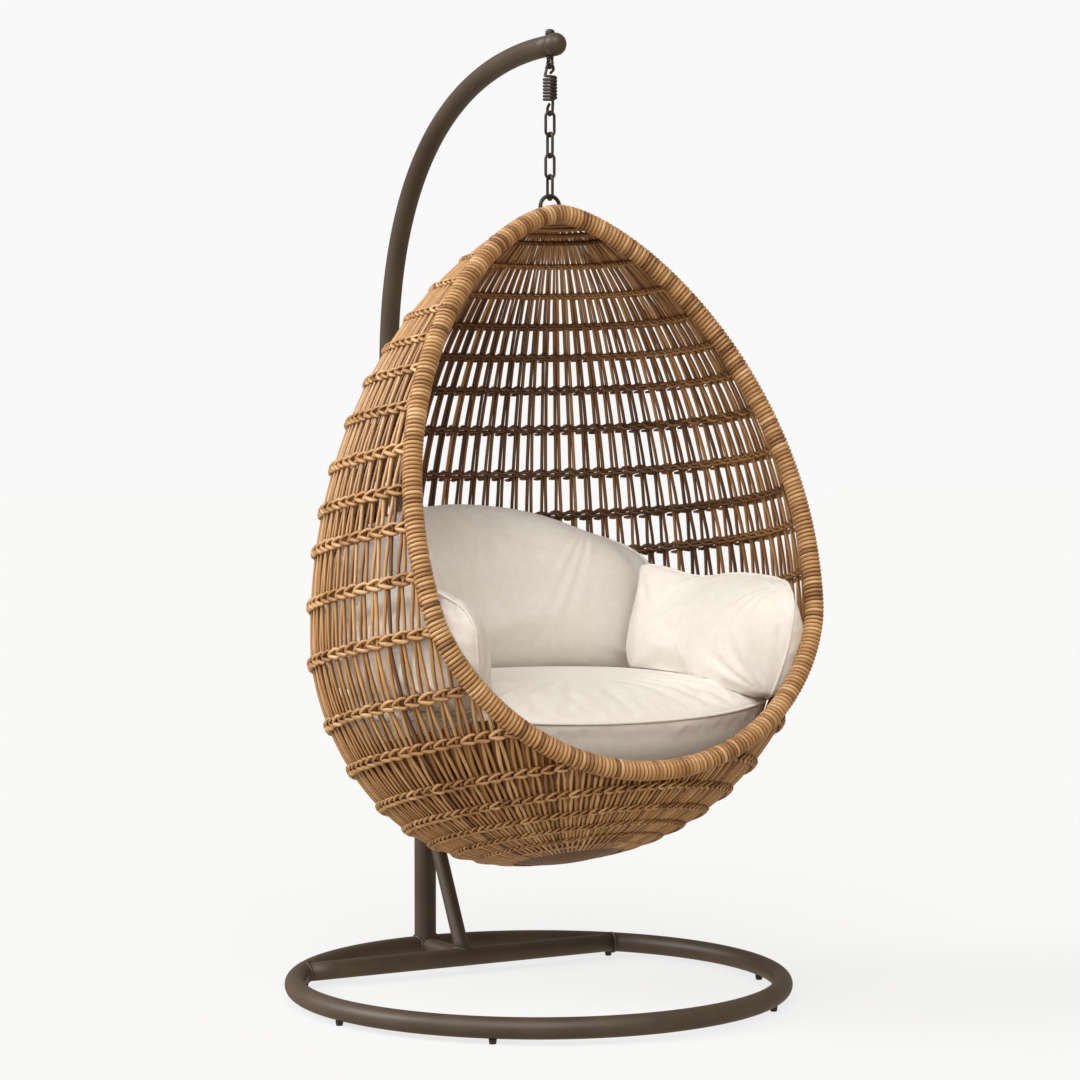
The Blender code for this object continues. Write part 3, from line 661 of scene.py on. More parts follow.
def rough(tree, shader, factor, low, high):
    """Roughness from low to high as a factor goes from 0 to 1."""
    made = node(tree, "ShaderNodeMapRange")
    made.inputs["To Min"].default_value = low
    made.inputs["To Max"].default_value = high
    tree.links.new(factor, made.inputs["Value"])
    tree.links.new(made.outputs["Result"], shader.inputs["Roughness"])


def ramp(tree, factor, *stops):
    made = tree.nodes.new("ShaderNodeValToRGB")
    elements = made.color_ramp.elements
    while len(elements) < len(stops):
        elements.new(0.5)
    for element, (place, colour) in zip(elements, stops):
        element.position = place
        element.color = (*colour, 1.0)
    tree.links.new(factor, made.inputs["Fac"])
    return made.outputs["Color"]


def mixed(tree, kind, amount, first, second):
    made = tree.nodes.new("ShaderNodeMix")
    made.data_type = "RGBA"
    made.blend_type = kind
    for socket, value in ((0, amount), (6, first), (7, second)):
        if isinstance(value, bpy.types.NodeSocket):
            tree.links.new(value, made.inputs[socket])
        elif isinstance(value, tuple):
            made.inputs[socket].default_value = (*value, 1.0)
        else:
            made.inputs[socket].default_value = value
    return made.outputs[2]


def bumped(tree, shader, height, strength, distance):
    bump = node(tree, "ShaderNodeBump", Strength=strength, Distance=distance)
    tree.links.new(height, bump.inputs["Height"])
    tree.links.new(bump.outputs["Normal"], shader.inputs["Normal"])


def cane_material():
    """Golden cane: its own tone for each strand, less painted shade on its flanks and inner sides, with
    streaks along the grain.
    """
    made, tree, shader = new_material("golden_cane", (0.46, 0.25, 0.095), 0.42)
    links = tree.links
    grain = node(tree, "ShaderNodeAttribute", attribute_name="grain")
    tone = node(tree, "ShaderNodeAttribute", attribute_name="tone")
    stretched = node(tree, "ShaderNodeMapping")
    stretched.inputs["Scale"].default_value = (1.6, 1.6, 22.0)
    links.new(grain.outputs["Vector"], stretched.inputs["Vector"])
    streaks = noise(tree, stretched.outputs["Vector"], Scale=1.0, Detail=4.0, Roughness=0.6)
    base = ramp(
        tree, tone.outputs["Fac"],
        (0.0, (0.085, 0.036, 0.011)), (0.3, (0.24, 0.108, 0.036)), (0.6, (0.53, 0.295, 0.118)),
        (1.0, (0.80, 0.55, 0.30)),
    )
    streaked = ramp(tree, streaks, (0.32, (0.62, 0.54, 0.45)), (0.6, (1.0, 1.0, 1.0)))
    colour = mixed(tree, "MULTIPLY", 0.85, base, streaked)
    links.new(colour, shader.inputs["Base Color"])
    rough(tree, shader, streaks, 0.46, 0.32)
    bumped(tree, shader, streaks, 0.25, 0.0006)
    return made


def metal_material(name, colour, roughness, metallic):
    """Powder-coated or bronzed steel with a fine orange-peel skin."""
    made, tree, shader = new_material(name, colour, roughness, metallic)
    place = node(tree, "ShaderNodeTexCoord").outputs["Object"]
    peel = noise(tree, place, Scale=900.0, Detail=2.0)
    worn = noise(tree, place, Scale=9.0, Detail=5.0)
    darker = tuple(0.82 * value for value in colour)
    lighter = tuple(1.12 * value for value in colour)
    tree.links.new(ramp(tree, worn, (0.35, darker), (0.65, lighter)), shader.inputs["Base Color"])
    rough(tree, shader, worn, roughness - 0.05, roughness + 0.08)
    bumped(tree, shader, peel, 0.12, 0.0003)
    return made


def fabric_material():
    """Cream woven cotton: crossed threads, slubs and a soft nap."""
    made, tree, shader = new_material("cream_fabric", (0.83, 0.76, 0.67), 0.9)
    links = tree.links
    shader.inputs["Sheen Weight"].default_value = 0.2
    shader.inputs["Sheen Roughness"].default_value = 0.5
    place = node(tree, "ShaderNodeTexCoord").outputs["Object"]
    threads = []
    for direction in ("X", "Y", "Z"):
        wave = node(tree, "ShaderNodeTexWave", Scale=160.0, Distortion=1.2, bands_direction=direction)
        wave.inputs["Detail"].default_value = 1.0
        links.new(place, wave.inputs["Vector"])
        threads.append(wave.outputs["Fac"])
    crossed = node(tree, "ShaderNodeMath", operation="MAXIMUM")
    links.new(threads[0], crossed.inputs[0])
    links.new(threads[1], crossed.inputs[1])
    woven = node(tree, "ShaderNodeMath", operation="ADD")
    links.new(crossed.outputs[0], woven.inputs[0])
    links.new(threads[2], woven.inputs[1])
    slubs = noise(tree, place, Scale=60.0, Detail=6.0, Roughness=0.7)
    colour = ramp(tree, slubs, (0.3, (0.77, 0.73, 0.672)), (0.7, (0.84, 0.803, 0.75)))
    links.new(colour, shader.inputs["Base Color"])
    bumped(tree, shader, woven.outputs[0], 0.12, 0.0004)
    return made


def rubber_material():
    made, tree, shader = new_material("dark_rubber", (0.02, 0.02, 0.02), 0.7)
    place = node(tree, "ShaderNodeTexCoord").outputs["Object"]
    grain = noise(tree, place, Scale=700.0, Detail=3.0)
    shade = ramp(tree, grain, (0.3, (0.015, 0.015, 0.015)), (0.7, (0.03, 0.029, 0.028)))
    tree.links.new(shade, shader.inputs["Base Color"])
    bumped(tree, shader, grain, 0.2, 0.0003)
    return made


CANE_LOOK = cane_material()
POWDER_LOOK = metal_material("powder_coated_steel", (0.069, 0.048, 0.033), 0.48, 0.0)
BRONZE_LOOK = metal_material("bronzed_steel", (0.060, 0.050, 0.042), 0.42, 0.6)
FABRIC_LOOK = fabric_material()
RUBBER_LOOK = rubber_material()


# Basket


def eased(value, low, high):
    way = np.clip((value - low) / (high - low), 0, 1)
    return way * way * (3 - 2 * way)


def depth_shade(points):
    """Painted shade: how much darker the inner sides of canes are, deeper behind the opening."""
    return DEEP_SHADE * eased(behind_opening(points), *DEEP)


def stakes():
    """Pairs of canes down the egg, close under each row and splayed above the next, more so at the sides.

    Above the first row every other pair lies behind its neighbours, and in the bowl two more canes for each
    pair lie inside.
    """
    rows = np.array(ROW_RUNS)
    knots = [CROWN_RUN + STAKE_TOP]
    for row in rows:
        knots += [row - ROW_REACH, row + ROW_REACH]
    knots = np.array([*knots, HUB_RUN])
    runs = [knots[:1]]
    for low, high in zip(knots, knots[1:]):
        count = max(1, round((high - low) / STAKE_STEP))
        runs.append(low + (high - low) * np.arange(1, count + 1) / count)
    runs = np.concatenate(runs)
    place = np.clip(np.searchsorted(knots, runs, side="right") - 1, 0, len(knots) - 2)
    way = (runs - knots[place]) / (knots[place + 1] - knots[place])
    between = np.sin(math.pi * way) * (place % 2 == 0)
    way = way * way * (3 - 2 * way)
    s = station_at(runs)
    pitch = 2 * math.pi * section(s)[2] / PAIRS
    leaf = eased(runs, *LEAF_RUNS)
    fine = TOP_COVER[0] + (TOP_COVER[1] - TOP_COVER[0]) * eased(runs, *TOP_RUNS)
    fine = np.where(runs < ROW_RUNS[-1] / 2, fine, LOW_COVER)
    radius = np.minimum(CANE * (1 + LEAF_SWELL * leaf * (between - LEAF_NECK)), fine * pitch)
    thick = np.minimum(radius, CANE)
    backing = BACKING * (1 - eased(runs, rows[0] - BACKING_FADE, rows[0]))

    halves = {"left": Strands(), "right": Strands()}
    for pair in range(PAIRS):
        turn = -math.pi + 2 * math.pi * (pair + 0.5) / PAIRS
        turn += RANDOM.normal(0, TURN_WOBBLE)
        side = "left" if turn < 0 else "right"
        beside_opening = 1 - eased(abs(math.degrees(turn)), *SIDE_ANGLES)
        splay = np.interp(rows, *zip(*BACK_SPLAY)) * (1 - beside_opening)
        splay += np.interp(rows, *zip(*SIDE_SPLAY)) * beside_opening
        apart = [PAIR_TIGHT]
        for wide in splay:
            apart += [wide * RANDOM.normal(1, SPLAY_WOBBLE), PAIR_TIGHT]
        apart = np.array([*apart, PAIR_TIGHT])
        gap = apart[place] * (1 - way) + apart[place + 1] * way
        gap = np.minimum(gap * np.minimum(radius / CANE, 1), pitch / 2)
        lift = np.sqrt(np.maximum((2 * radius) ** 2 - gap**2, 0)) / 2
        out, _, beside = egg_axes(s, np.full(len(s), turn))
        for which in (-1, 1):
            wander = np.interp(runs, knots, RANDOM.normal(0, PATH_WOBBLE, len(knots)))
            above = which * lift + (backing if pair % 2 else -BACKING_IN * backing)
            path = egg(s, turn) + beside * (which * gap / 2 + wander)[:, None] + out * above[:, None]
            tone = RANDOM.normal(*STAKE_TONE)
            size = RANDOM.normal(1, SIZE_WOBBLE)
            shade = depth_shade(path)
            for stretch in stretches(behind_opening(path) > 0, 2):
                halves[side].add(
                    path[stretch], out[stretch], radius[stretch] * size, thick[stretch] * size, CANE_SIDES,
                    tone, shade=shade[stretch],
                )
        inserted = runs > INSERTED_RUN
        low = s[inserted]
        for shift, depth in INSERTED:
            place_round = np.full(len(low), turn + shift * 2 * math.pi / PAIRS)
            out, _, _ = egg_axes(low, place_round)
            path = egg(low, place_round, -depth)
            tone = RANDOM.normal(*INSERTED_TONE)
            for stretch in stretches(behind_opening(path) > 0, 2):
                wide = INSERTED_SIZE * radius[inserted][stretch]
                halves[side].add(path[stretch], out[stretch], wide, CANE, INSERTED_SIDES, tone)
    for side, strands in halves.items():
        put(f"stakes_{side}", strands.mesh(f"stakes_{side}"), CANE_LOOK, "basket", "cane")


def stretches(kept, least):
    """Runs of at least so many neighbouring places that are kept."""
    places = np.flatnonzero(kept)
    split = np.split(places, np.flatnonzero(np.diff(places) > 1) + 1)
    return [stretch for stretch in split if len(stretch) >= least]


def braided_rows():
    """Rows of canes round the stakes: a two-strand rope inside them and a chain of bent canes outside."""
    tiers = {
        "crown": ROW_RUNS[:6], "upper": ROW_RUNS[6:10], "middle": ROW_RUNS[10:13], "lower": ROW_RUNS[13:17],
        "base": ROW_RUNS[17:],
    }
    for tier, runs in tiers.items():
        strands = Strands()
        for run in runs:
            s = float(station_at(run))
            edge = float(opening_angle(s))
            size = min(1.0, 2 * math.pi * float(section(s)[2]) / PAIRS / FULL_PITCH)
            rope(strands, s, edge, size)
            chain_of_canes(strands, s, edge, size)
        name = f"braided_rows_{tier}"
        put(name, strands.mesh(name), CANE_LOOK, "basket", "cane", *panels(tier))


def rope(strands, s, edge, size):
    """Two strands that change places inside each pair of stakes, the rising one in front."""
    pitch = 2 * math.pi / PAIRS
    closed = edge == 0
    laps = 2 if closed else 1
    for start in (0,) if closed else (0, 1):
        places = []
        for pair in range(PAIRS * laps):
            table = ROPE_LOW if (pair + start) % 2 == 0 else ROPE_HIGH
            places += [(pair + along, up, out) for along, up, out in table]
        along, up, out = np.array(places).T
        angle = along * pitch
        if not closed:
            kept = (angle > edge) & (angle < 2 * math.pi - edge)
            angle, up, out = angle[kept], up[kept], out[kept]
        station = np.full(len(angle), s)
        outward, down, _ = egg_axes(station, angle)
        scale = ROPE_LEAST + (1 - ROPE_LEAST) * size
        path = egg(station, angle)
        rise = (ROPE * up + ROPE_LIFT) * scale + ROPE_SLOPE * np.maximum(outward[:, 2], 0)
        path = path - outward * (ROPE_OUT * out * scale)[:, None] - down * rise[:, None]
        tone = RANDOM.normal(*ROPE_TONE)
        strands.add(
            path, outward, ROPE * scale, ROPE * scale, ROPE_SIDES, tone, closed, shade=depth_shade(path)
        )


def chain_of_canes(strands, s, edge, size):
    """One bent cane over each pair of stakes, its loop lying on the ends of the one before."""
    pitch = 2 * math.pi / PAIRS
    along, up, out, wide = np.array(CHEVRON).T
    station = np.full(len(along), s)
    scale = CHEVRON_LEAST + (1 - CHEVRON_LEAST) * size
    aside, taller, higher = CHEVRON_WOBBLE
    first = edge + CHEVRON_EDGE * pitch
    last = 2 * math.pi - first
    for pair in range(PAIRS):
        middle = pair * pitch + RANDOM.normal(0, aside)
        if edge and not first < middle < last:
            continue
        rise = up * RANDOM.normal(1, taller) + RANDOM.normal(0, higher)
        angle = middle + along * pitch
        if edge:
            angle = np.clip(angle, edge, 2 * math.pi - edge)
        outward, down, _ = egg_axes(station, angle)
        path = egg(station, angle)
        path = path + outward * (MILLIMETRE * out * scale)[:, None]
        path = path - down * (MILLIMETRE * rise * scale)[:, None]
        tone = RANDOM.normal(*CHEVRON_TONE)
        thick = CHEVRON_THICK * np.minimum(wide / CHEVRON_FULL, 1) * scale
        across = MILLIMETRE * wide * scale
        strands.add(path, outward, across, thick, ROPE_SIDES, tone, shade=depth_shade(path))


def panels(tier):
    return [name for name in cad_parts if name.startswith(f"weave_{tier}_")]


def rim_path(count):
    """The edge of the opening, evenly spaced, from the top down the right side and back up the left."""
    front = behind_opening(egg(STATIONS, np.zeros(len(STATIONS)))) > 0
    ahead = STATIONS[~front]
    way = (1 - np.cos(np.linspace(0, math.pi, OPENING_STEPS))) / 2
    s = ahead[0] + (ahead[-1] - ahead[0]) * way
    right = egg(s, opening_angle(s))
    right[[0, -1], 0] = 0
    left = right[-2:0:-1] * (-1, 1, 1)
    loop = np.concatenate([right, left, right[:1]])
    run = run_along(loop)
    places = np.linspace(0, run[-1], count, endpoint=False)
    return np.column_stack([np.interp(places, run, loop[:, axis]) for axis in range(3)])


def rim():
    """A hoop wrapped with one long cane, each turn with its own tone."""
    core = rim_path(RIM_CORE_STEPS)
    hoop = swept(core, RIM_CORE, RIM_CORE_SIDES, closed=True).mesh("rim_core")
    put("rim_core", hoop, CANE_LOOK, "basket", "cane", "rim_hoop")
    count = RIM_TURNS * RIM_STEPS
    path = rim_path(count)
    normals = carried(path, closed=True)
    along = tangents(path, True)
    turn = 2 * math.pi * np.arange(count)[:, None] / RIM_STEPS
    outward = turned_about(normals, along, turn)
    tones = np.clip(RANDOM.normal(*STAKE_TONE, RIM_TURNS), *RIM_TONE_RANGE)
    strands = Strands()
    strands.add(
        path + outward * RIM_CENTRE, outward, RIM_ACROSS, RIM_OUT, RIM_SIDES, np.repeat(tones, RIM_STEPS),
        closed=True,
    )
    put("rim_wrap", strands.mesh("rim_wrap"), CANE_LOOK, "basket", "cane")


def coiled(name, run, radius, rise, cad_node):
    """A flat coil of cane that closes the top or the bottom of the basket."""
    y, z, _, tilt = section(float(station_at(run)))
    turns = radius / (FLAT_COIL_LAY * CANE)
    way = np.linspace(FLAT_COIL_START, 1, round(turns * FLAT_COIL_STEPS))
    turn = 2 * math.pi * turns * way
    out = (radius - CANE) * way
    x = out * np.sin(turn)
    ahead = out * np.cos(turn)
    bulge = rise * (1 - way**2)
    path = np.stack([x, y - ahead * math.cos(tilt), z + ahead * math.sin(tilt) + bulge], axis=1)
    up = np.broadcast_to((0.0, math.sin(tilt), math.cos(tilt)), path.shape)
    strands = Strands()
    for stretch in stretches(behind_opening(path) > RIM_CORE, 3):
        tone = np.clip(RANDOM.normal(*COIL_TONE), 0, 1)
        strands.add(path[stretch], up[stretch], CANE, CANE, CANE_SIDES, tone)
    put(name, strands.mesh(name), CANE_LOOK, "basket", "cane", cad_node)


def crown_hoop():
    """A smooth hoop inside the top ends of the stakes."""
    s = float(station_at(CROWN_RUN + STAKE_TOP))
    angle = np.linspace(0, 2 * math.pi, HOOP_STEPS, endpoint=False)
    path = egg(np.full(len(angle), s), angle, -HOOP_INSIDE)
    outward, _, _ = egg_axes(np.full(len(angle), s), angle)
    strands = Strands()
    for stretch in stretches(behind_opening(path) > RIM_CORE, 3):
        strands.add(path[stretch], outward[stretch], HOOP_HIGH, HOOP_THICK, HOOP_SIDES, HOOP_TONE)
    put("crown_hoop", strands.mesh("crown_hoop"), CANE_LOOK, "basket", "cane")


stakes()
braided_rows()
rim()
coiled("crown_coil", CROWN_RUN, CROWN_COIL, CROWN_RISE, "crown_plate")
coiled("hub_coil", HUB_RUN, HUB_RADIUS, HUB_RISE, "bottom_hub")
crown_hoop()


# Cushions


def pillow_points(shape, back, up, face):
    """Places on a pillow against the wall, for places across it, up it and through it from -1 to 1."""
    side = math.copysign(1.0, shape["place"])
    edge = shape["edge"]
    front, rear, lower = shape["roundness"]
    corner = np.where(up > 0, rear + (front - rear) * eased(-back, -0.3, 0.3), lower) / 2
    power = np.where(up > 0, shape["top"], 4.0)
    filled = np.sqrt((1 - back**4) * (1 - np.abs(up) ** power))
    swell = edge + (1 - edge) * filled * (1 - shape["slump"] * up)
    wide = back * (1 - SIDE_DRAW_IN * (1 - up * up)) * np.sqrt(1 - corner * up * up)
    high = up * (1 - SIDE_DRAW_IN * (1 - back * back)) * np.sqrt(1 - corner * back * back)
    wide = wide - shape["lean"] * up * eased(back, -0.5, 1.0)
    high = high * np.where(up > 0, shape["height"], 1.0)
    dip, dip_place, dip_width = shape["sag"]
    high = high - dip * eased(up, 0.0, 1.0) * np.exp(-(((back - dip_place) / dip_width) ** 2))
    all_round, at_front = shape["droop"]
    high = high - eased(-up, 0.0, 1.0) * (all_round + at_front * eased(-back, -0.6, 1.0))
    middle, half = shape["stations"]
    s = middle - half * high - shape["level"] * wide
    angle = np.radians(shape["place"] + side * shape["spread"] * wide)
    if shape["flat_back"]:
        depth = shape["thickness"] / 2 * swell * (1 - face)
    else:
        to_wall = shape["to_wall"] * eased(-back, 0.0, 1.0) * (1 - filled)
        depth = shape["turn"] * (1 + wide) / 2 + shape["thickness"] / 2 * (1 - swell * face - to_wall)
    return egg(s, angle, -(WALL_CLEARANCE + depth))


def pillow(name, shape):
    mesh = bpy.data.meshes.new(name)
    form = bmesh.new()
    bmesh.ops.create_cube(form, size=2.0)
    bmesh.ops.subdivide_edges(form, edges=form.edges, cuts=PILLOW_CUTS, use_grid_fill=True)
    places = np.array([vert.co for vert in form.verts])
    for vert, point in zip(form.verts, pillow_points(shape, *places.T)):
        vert.co = point
    if form.calc_volume(signed=True) < 0:
        bmesh.ops.reverse_faces(form, faces=form.faces)
    form.to_mesh(mesh)
    form.free()
    way = np.linspace(-1, 1, SEAM_STEPS, endpoint=False)
    ones = np.ones(len(way))
    back = np.concatenate([way, ones, -way, -ones])
    up = np.concatenate([-ones, way, ones, -way])
    seam = pillow_points(shape, back, up, np.zeros(len(back)))
    return sewn(name, mesh, seam, shape)


def seat():
    """Broad pad in the bowl of the basket: crowned on top, deeper below its piped edge."""
    low, high = (Vector(corner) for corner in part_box("seat_cushion"))
    out = np.sin(np.linspace(0, math.pi / 2, SEAT_ROUNDS))
    upper = [(r, SEAT_CROWN * math.sqrt(max(1 - r**SEAT_TOP_FULLNESS, 0))) for r in out]
    lower = [(r, -SEAT_DEPTH * math.sqrt(max(1 - r**SEAT_BASE_FULLNESS, 0))) for r in out[-2::-1]]
    mesh = turned("seat_cushion_form", upper + lower, SEAT_STEPS)
    middle = (low + high) / 2
    half = (high - low) / 2

    def placed(points):
        shape = broad_front(points)
        bow = 1 - SEAT_BOW * shape[:, 0] ** 2
        shape[:, 2] -= SEAT_DROOP * eased(-shape[:, 1], *SEAT_DROOP_FROM) * bow
        return shape * (half.x, half.y, 1) + (0, middle.y, SEAT_EDGE)

    mesh.vertices.foreach_set("co", placed(coordinates(mesh)).ravel())
    turn = np.linspace(0, 2 * math.pi, 4 * SEAM_STEPS, endpoint=False)
    seam = placed(np.stack([np.cos(turn), np.sin(turn), np.zeros(len(turn))], axis=1))
    return sewn("seat_cushion", mesh, seam, dict(SEAT, middle=middle, half=half))


def broad_front(points):
    """Round outlines about Z made broader at their front corners."""
    x, y, z = points.T
    radius = np.hypot(x, y)
    across = x / np.maximum(radius, 1e-9)
    back = y / np.maximum(radius, 1e-9)
    power = np.where(back > 0, 1.0, 2 / SEAT_FRONT)
    x = radius * np.sign(across) * np.abs(across) ** power
    y = radius * np.sign(back) * np.abs(back) ** power
    return np.stack([x, y, z], axis=1)


def coordinates(mesh):
    points = np.empty(len(mesh.vertices) * 3)
    mesh.vertices.foreach_get("co", points)
    return points.reshape(-1, 3)


def normals_of(mesh):
    normals = np.empty(len(mesh.vertices) * 3)
    mesh.vertex_normals.foreach_get("vector", normals)
    return normals.reshape(-1, 3)


def evaluated(obj):
    graph = bpy.context.evaluated_depsgraph_get()
    return bpy.data.meshes.new_from_object(obj.evaluated_get(graph))


def sewn(name, mesh, seam, shape):
    """An even mesh over a cushion's form, ready to be blown up as cloth between its held seams."""
    obj = bpy.data.objects.new(name + "_soft", mesh)
    bpy.context.scene.collection.objects.link(obj)
    even = obj.modifiers.new("even", "REMESH")
    even.mode = "VOXEL"
    even.voxel_size = shape["cell"]
    smooth = obj.modifiers.new("smooth", "SMOOTH")
    smooth.iterations = CLOTH_SMOOTHING
    mesh = evaluated(obj)
    obj.modifiers.clear()
    obj.data = mesh
    points = coordinates(mesh)
    apart = np.min(np.linalg.norm(points[:, None] - seam[None, ::2], axis=2), axis=1)
    held = obj.vertex_groups.new(name="sewn")
    for index in np.flatnonzero(apart < SEAM_HOLD):
        held.add([int(index)], 1.0, "REPLACE")
    cloth = obj.modifiers.new("cloth", "CLOTH")
    cloth.collision_settings.use_collision = False
    settings = cloth.settings
    settings.quality = CLOTH_QUALITY
    settings.mass = CLOTH_MASS
    settings.tension_stiffness = CLOTH_STRETCH
    settings.compression_stiffness = CLOTH_STRETCH
    settings.shear_stiffness = CLOTH_SHEAR
    settings.bending_stiffness = shape["stiffness"]
    settings.vertex_group_mass = "sewn"
    settings.use_pressure = True
    settings.uniform_pressure_force = shape["pressure"]
    settings.shrink_min = -shape["growth"]
    settings.effector_weights.gravity = 0
    cloth.point_cache.frame_start = 1
    cloth.point_cache.frame_end = PUFF_FRAMES
    return dict(name=name, obj=obj, seam=seam, shape=shape)


def blown_up(cushions):
    """Run the cloth of all cushions at once, and keep each point within reach of its form."""
    scene = bpy.context.scene
    for number in range(1, PUFF_FRAMES + 1):
        scene.frame_set(number)
    for made in cushions:
        obj = made["obj"]
        mesh = obj.data
        before = coordinates(mesh)
        after = coordinates(evaluated(obj))
        facing = normals_of(mesh)
        outward = unit(before * (1, 1, 0) - np.array((0, HANG_Y, 0)))
        held = (np.sum(facing * outward, axis=1) > WALL_FACING) | (facing[:, 2] < -WALL_FACING)
        cap = np.where(held, PUFF_WALL, made["shape"]["reach"])
        move = after - before
        far = np.linalg.norm(move, axis=1)
        made["points"] = before + move * (np.minimum(far, cap) / np.maximum(far, 1e-9))[:, None]
    scene.frame_set(1)
    for made in cushions:
        obj = made["obj"]
        obj.modifiers.clear()
        obj.vertex_groups.clear()
        set_points(made, made["points"])
        calm = obj.modifiers.new("calm", "SMOOTH")
        calm.iterations = made["shape"]["calm"]
        points = coordinates(evaluated(obj))
        obj.modifiers.clear()
        set_points(made, points)


def set_points(made, points):
    made["points"] = points
    mesh = made["obj"].data
    mesh.vertices.foreach_set("co", points.ravel())
    mesh.update()


def corner_folds(made):
    """Soft folds that spread from the corners of a pillow."""
    points = made["points"]
    facing = normals_of(made["obj"].data)
    seam = made["seam"]
    count = len(seam)
    near, wide = CORNER_REACH
    for place in range(0, count, count // 4):
        corner = seam[place]
        first = unit(seam[(place + SEAM_STEPS // 2) % count] - corner)
        second = unit(seam[place - SEAM_STEPS // 2] - corner)
        away = points - corner
        along, across = away @ first, away @ second
        far = np.hypot(along, across)
        turn = np.arctan2(across, along) / (math.pi / 2)
        fold = np.sin(math.pi * CORNER_FOLDS * turn) * np.exp(-(((far - near) / wide) ** 2))
        inner = (turn > 0) & (turn < 1)
        points = points + facing * (CORNER_FOLD * fold * inner)[:, None]
    set_points(made, points)


def seat_folds(made):
    """Soft folds that run from the top of the seat to its piped edge at the front on both sides."""
    points = made["points"]
    facing = normals_of(made["obj"].data)
    middle, half = made["shape"]["middle"], made["shape"]["half"]
    x = (points[:, 0] - middle.x) / half.x
    y = (points[:, 1] - middle.y) / half.y
    out = np.hypot(x, y)
    first, last, count = SEAT_FOLDS
    turn = np.degrees(np.arctan2(np.abs(x), -y)) + SEAT_FOLD_SWEEP * (1 - out)
    way = (turn - first) / (last - first)
    fold = np.sin(2 * math.pi * count * way) * np.sin(math.pi * np.clip(way, 0, 1))
    fold *= eased(out, *SEAT_FOLD_START) * (1 - eased(out, *SEAT_FOLD_END)) * (facing[:, 2] > TOP_FACING)
    set_points(made, points + facing * (SEAT_FOLD * fold)[:, None])


def skin_of(obj):
    skin = evaluated(obj)
    return BVHTree.FromPolygons(
        [vert.co for vert in skin.vertices], [tuple(face.vertices) for face in skin.polygons]
    )


def kept_clear(made, others):
    """Press a cushion flat where it would run into another one."""
    points = made["points"].copy()
    for other in others:
        tree = skin_of(other["obj"])
        for index, point in enumerate(points):
            place, normal, _, _ = tree.find_nearest(Vector(point), CLEAR_REACH)
            if place is not None and (Vector(point) - place).dot(normal) < CLEARANCE:
                points[index] = place + normal * CLEARANCE
    set_points(made, points)


def finished(made):
    obj, name = made["obj"], made["name"]
    mesh = obj.data
    mesh.materials.clear()
    mesh.materials.append(FABRIC_LOOK)
    mesh.shade_smooth()
    finer = obj.modifiers.new("finer", "SUBSURF")
    finer.levels = 1
    finer.render_levels = 1
    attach(obj, "basket")
    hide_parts(name)
    piping(name, obj, made["seam"])


def piping(name, obj, seam):
    """A corded edge along the seam, laid on the cushion's skin."""
    tree = skin_of(obj)
    laid = []
    for point in seam:
        place, normal, _, _ = tree.find_nearest(Vector(point))
        laid.append(place + normal * PIPING * PIPING_RISE)
    laid = np.array([tuple(point) for point in laid])
    for _ in range(PIPING_SMOOTHING):
        laid = (np.roll(laid, 1, axis=0) + 2 * laid + np.roll(laid, -1, axis=0)) / 4
    cord = swept(laid, PIPING, PIPING_SIDES, closed=True)
    put(name + "_piping", cord.mesh(name + "_piping"), FABRIC_LOOK, "basket", "fabric")


def cushions():
    pad = seat()
    back = pillow("back_cushion", BACK)
    left = pillow("left_cushion", dict(SIDE, place=-SIDE_PLACE))
    right = pillow("right_cushion", dict(SIDE, place=SIDE_PLACE))
    blown_up((pad, back, left, right))
    seat_folds(pad)
    for made in (back, left, right):
        corner_folds(made)
    kept_clear(back, (pad,))
    kept_clear(left, (pad, back))
    kept_clear(right, (pad, back))
    for made in (pad, back, left, right):
        finished(made)


cushions()


# Stand


def straight(start, end):
    way = np.linspace(0, 1, TUBE_STEPS)[:, None]
    return np.array(start) * (1 - way) + np.array(end) * way


def hoop_path(count):
    turn = np.linspace(0, 2 * math.pi, count, endpoint=False)
    return np.stack(
        [RING_RADIUS * np.sin(turn), RING_Y - RING_RADIUS * np.cos(turn), np.full(count, RING_Z)], axis=1
    )


def pole_path():
    """The middle line of the pole, from inside the post to the tip over the basket."""
    socket = Vector((0, POST_Y, SOCKET_BOTTOM))
    bend = Vector((0, POST_Y, BEND_START))
    back = Vector((0, RING_Y + POLE_BACK, POLE_BACK_HEIGHT))
    tip = Vector((0, HANG_Y - TIP_OVERHANG, POLE_TIP_HEIGHT))
    level = tip + Vector((0, TIP_STRAIGHT, 0))
    up = Vector((0, 0, 1))
    below, above = POLE_BACK_REACH
    low_steps, high_steps = POLE_STEPS
    before_tip = level + Vector((0, POLE_TIP_REACH, 0))
    rise = interpolate_bezier(bend, bend + up * BEND_REACH, back - up * below, back, low_steps)
    over = interpolate_bezier(back, back + up * above, before_tip, level, high_steps)
    return [socket, *rise, *over[1:], tip]


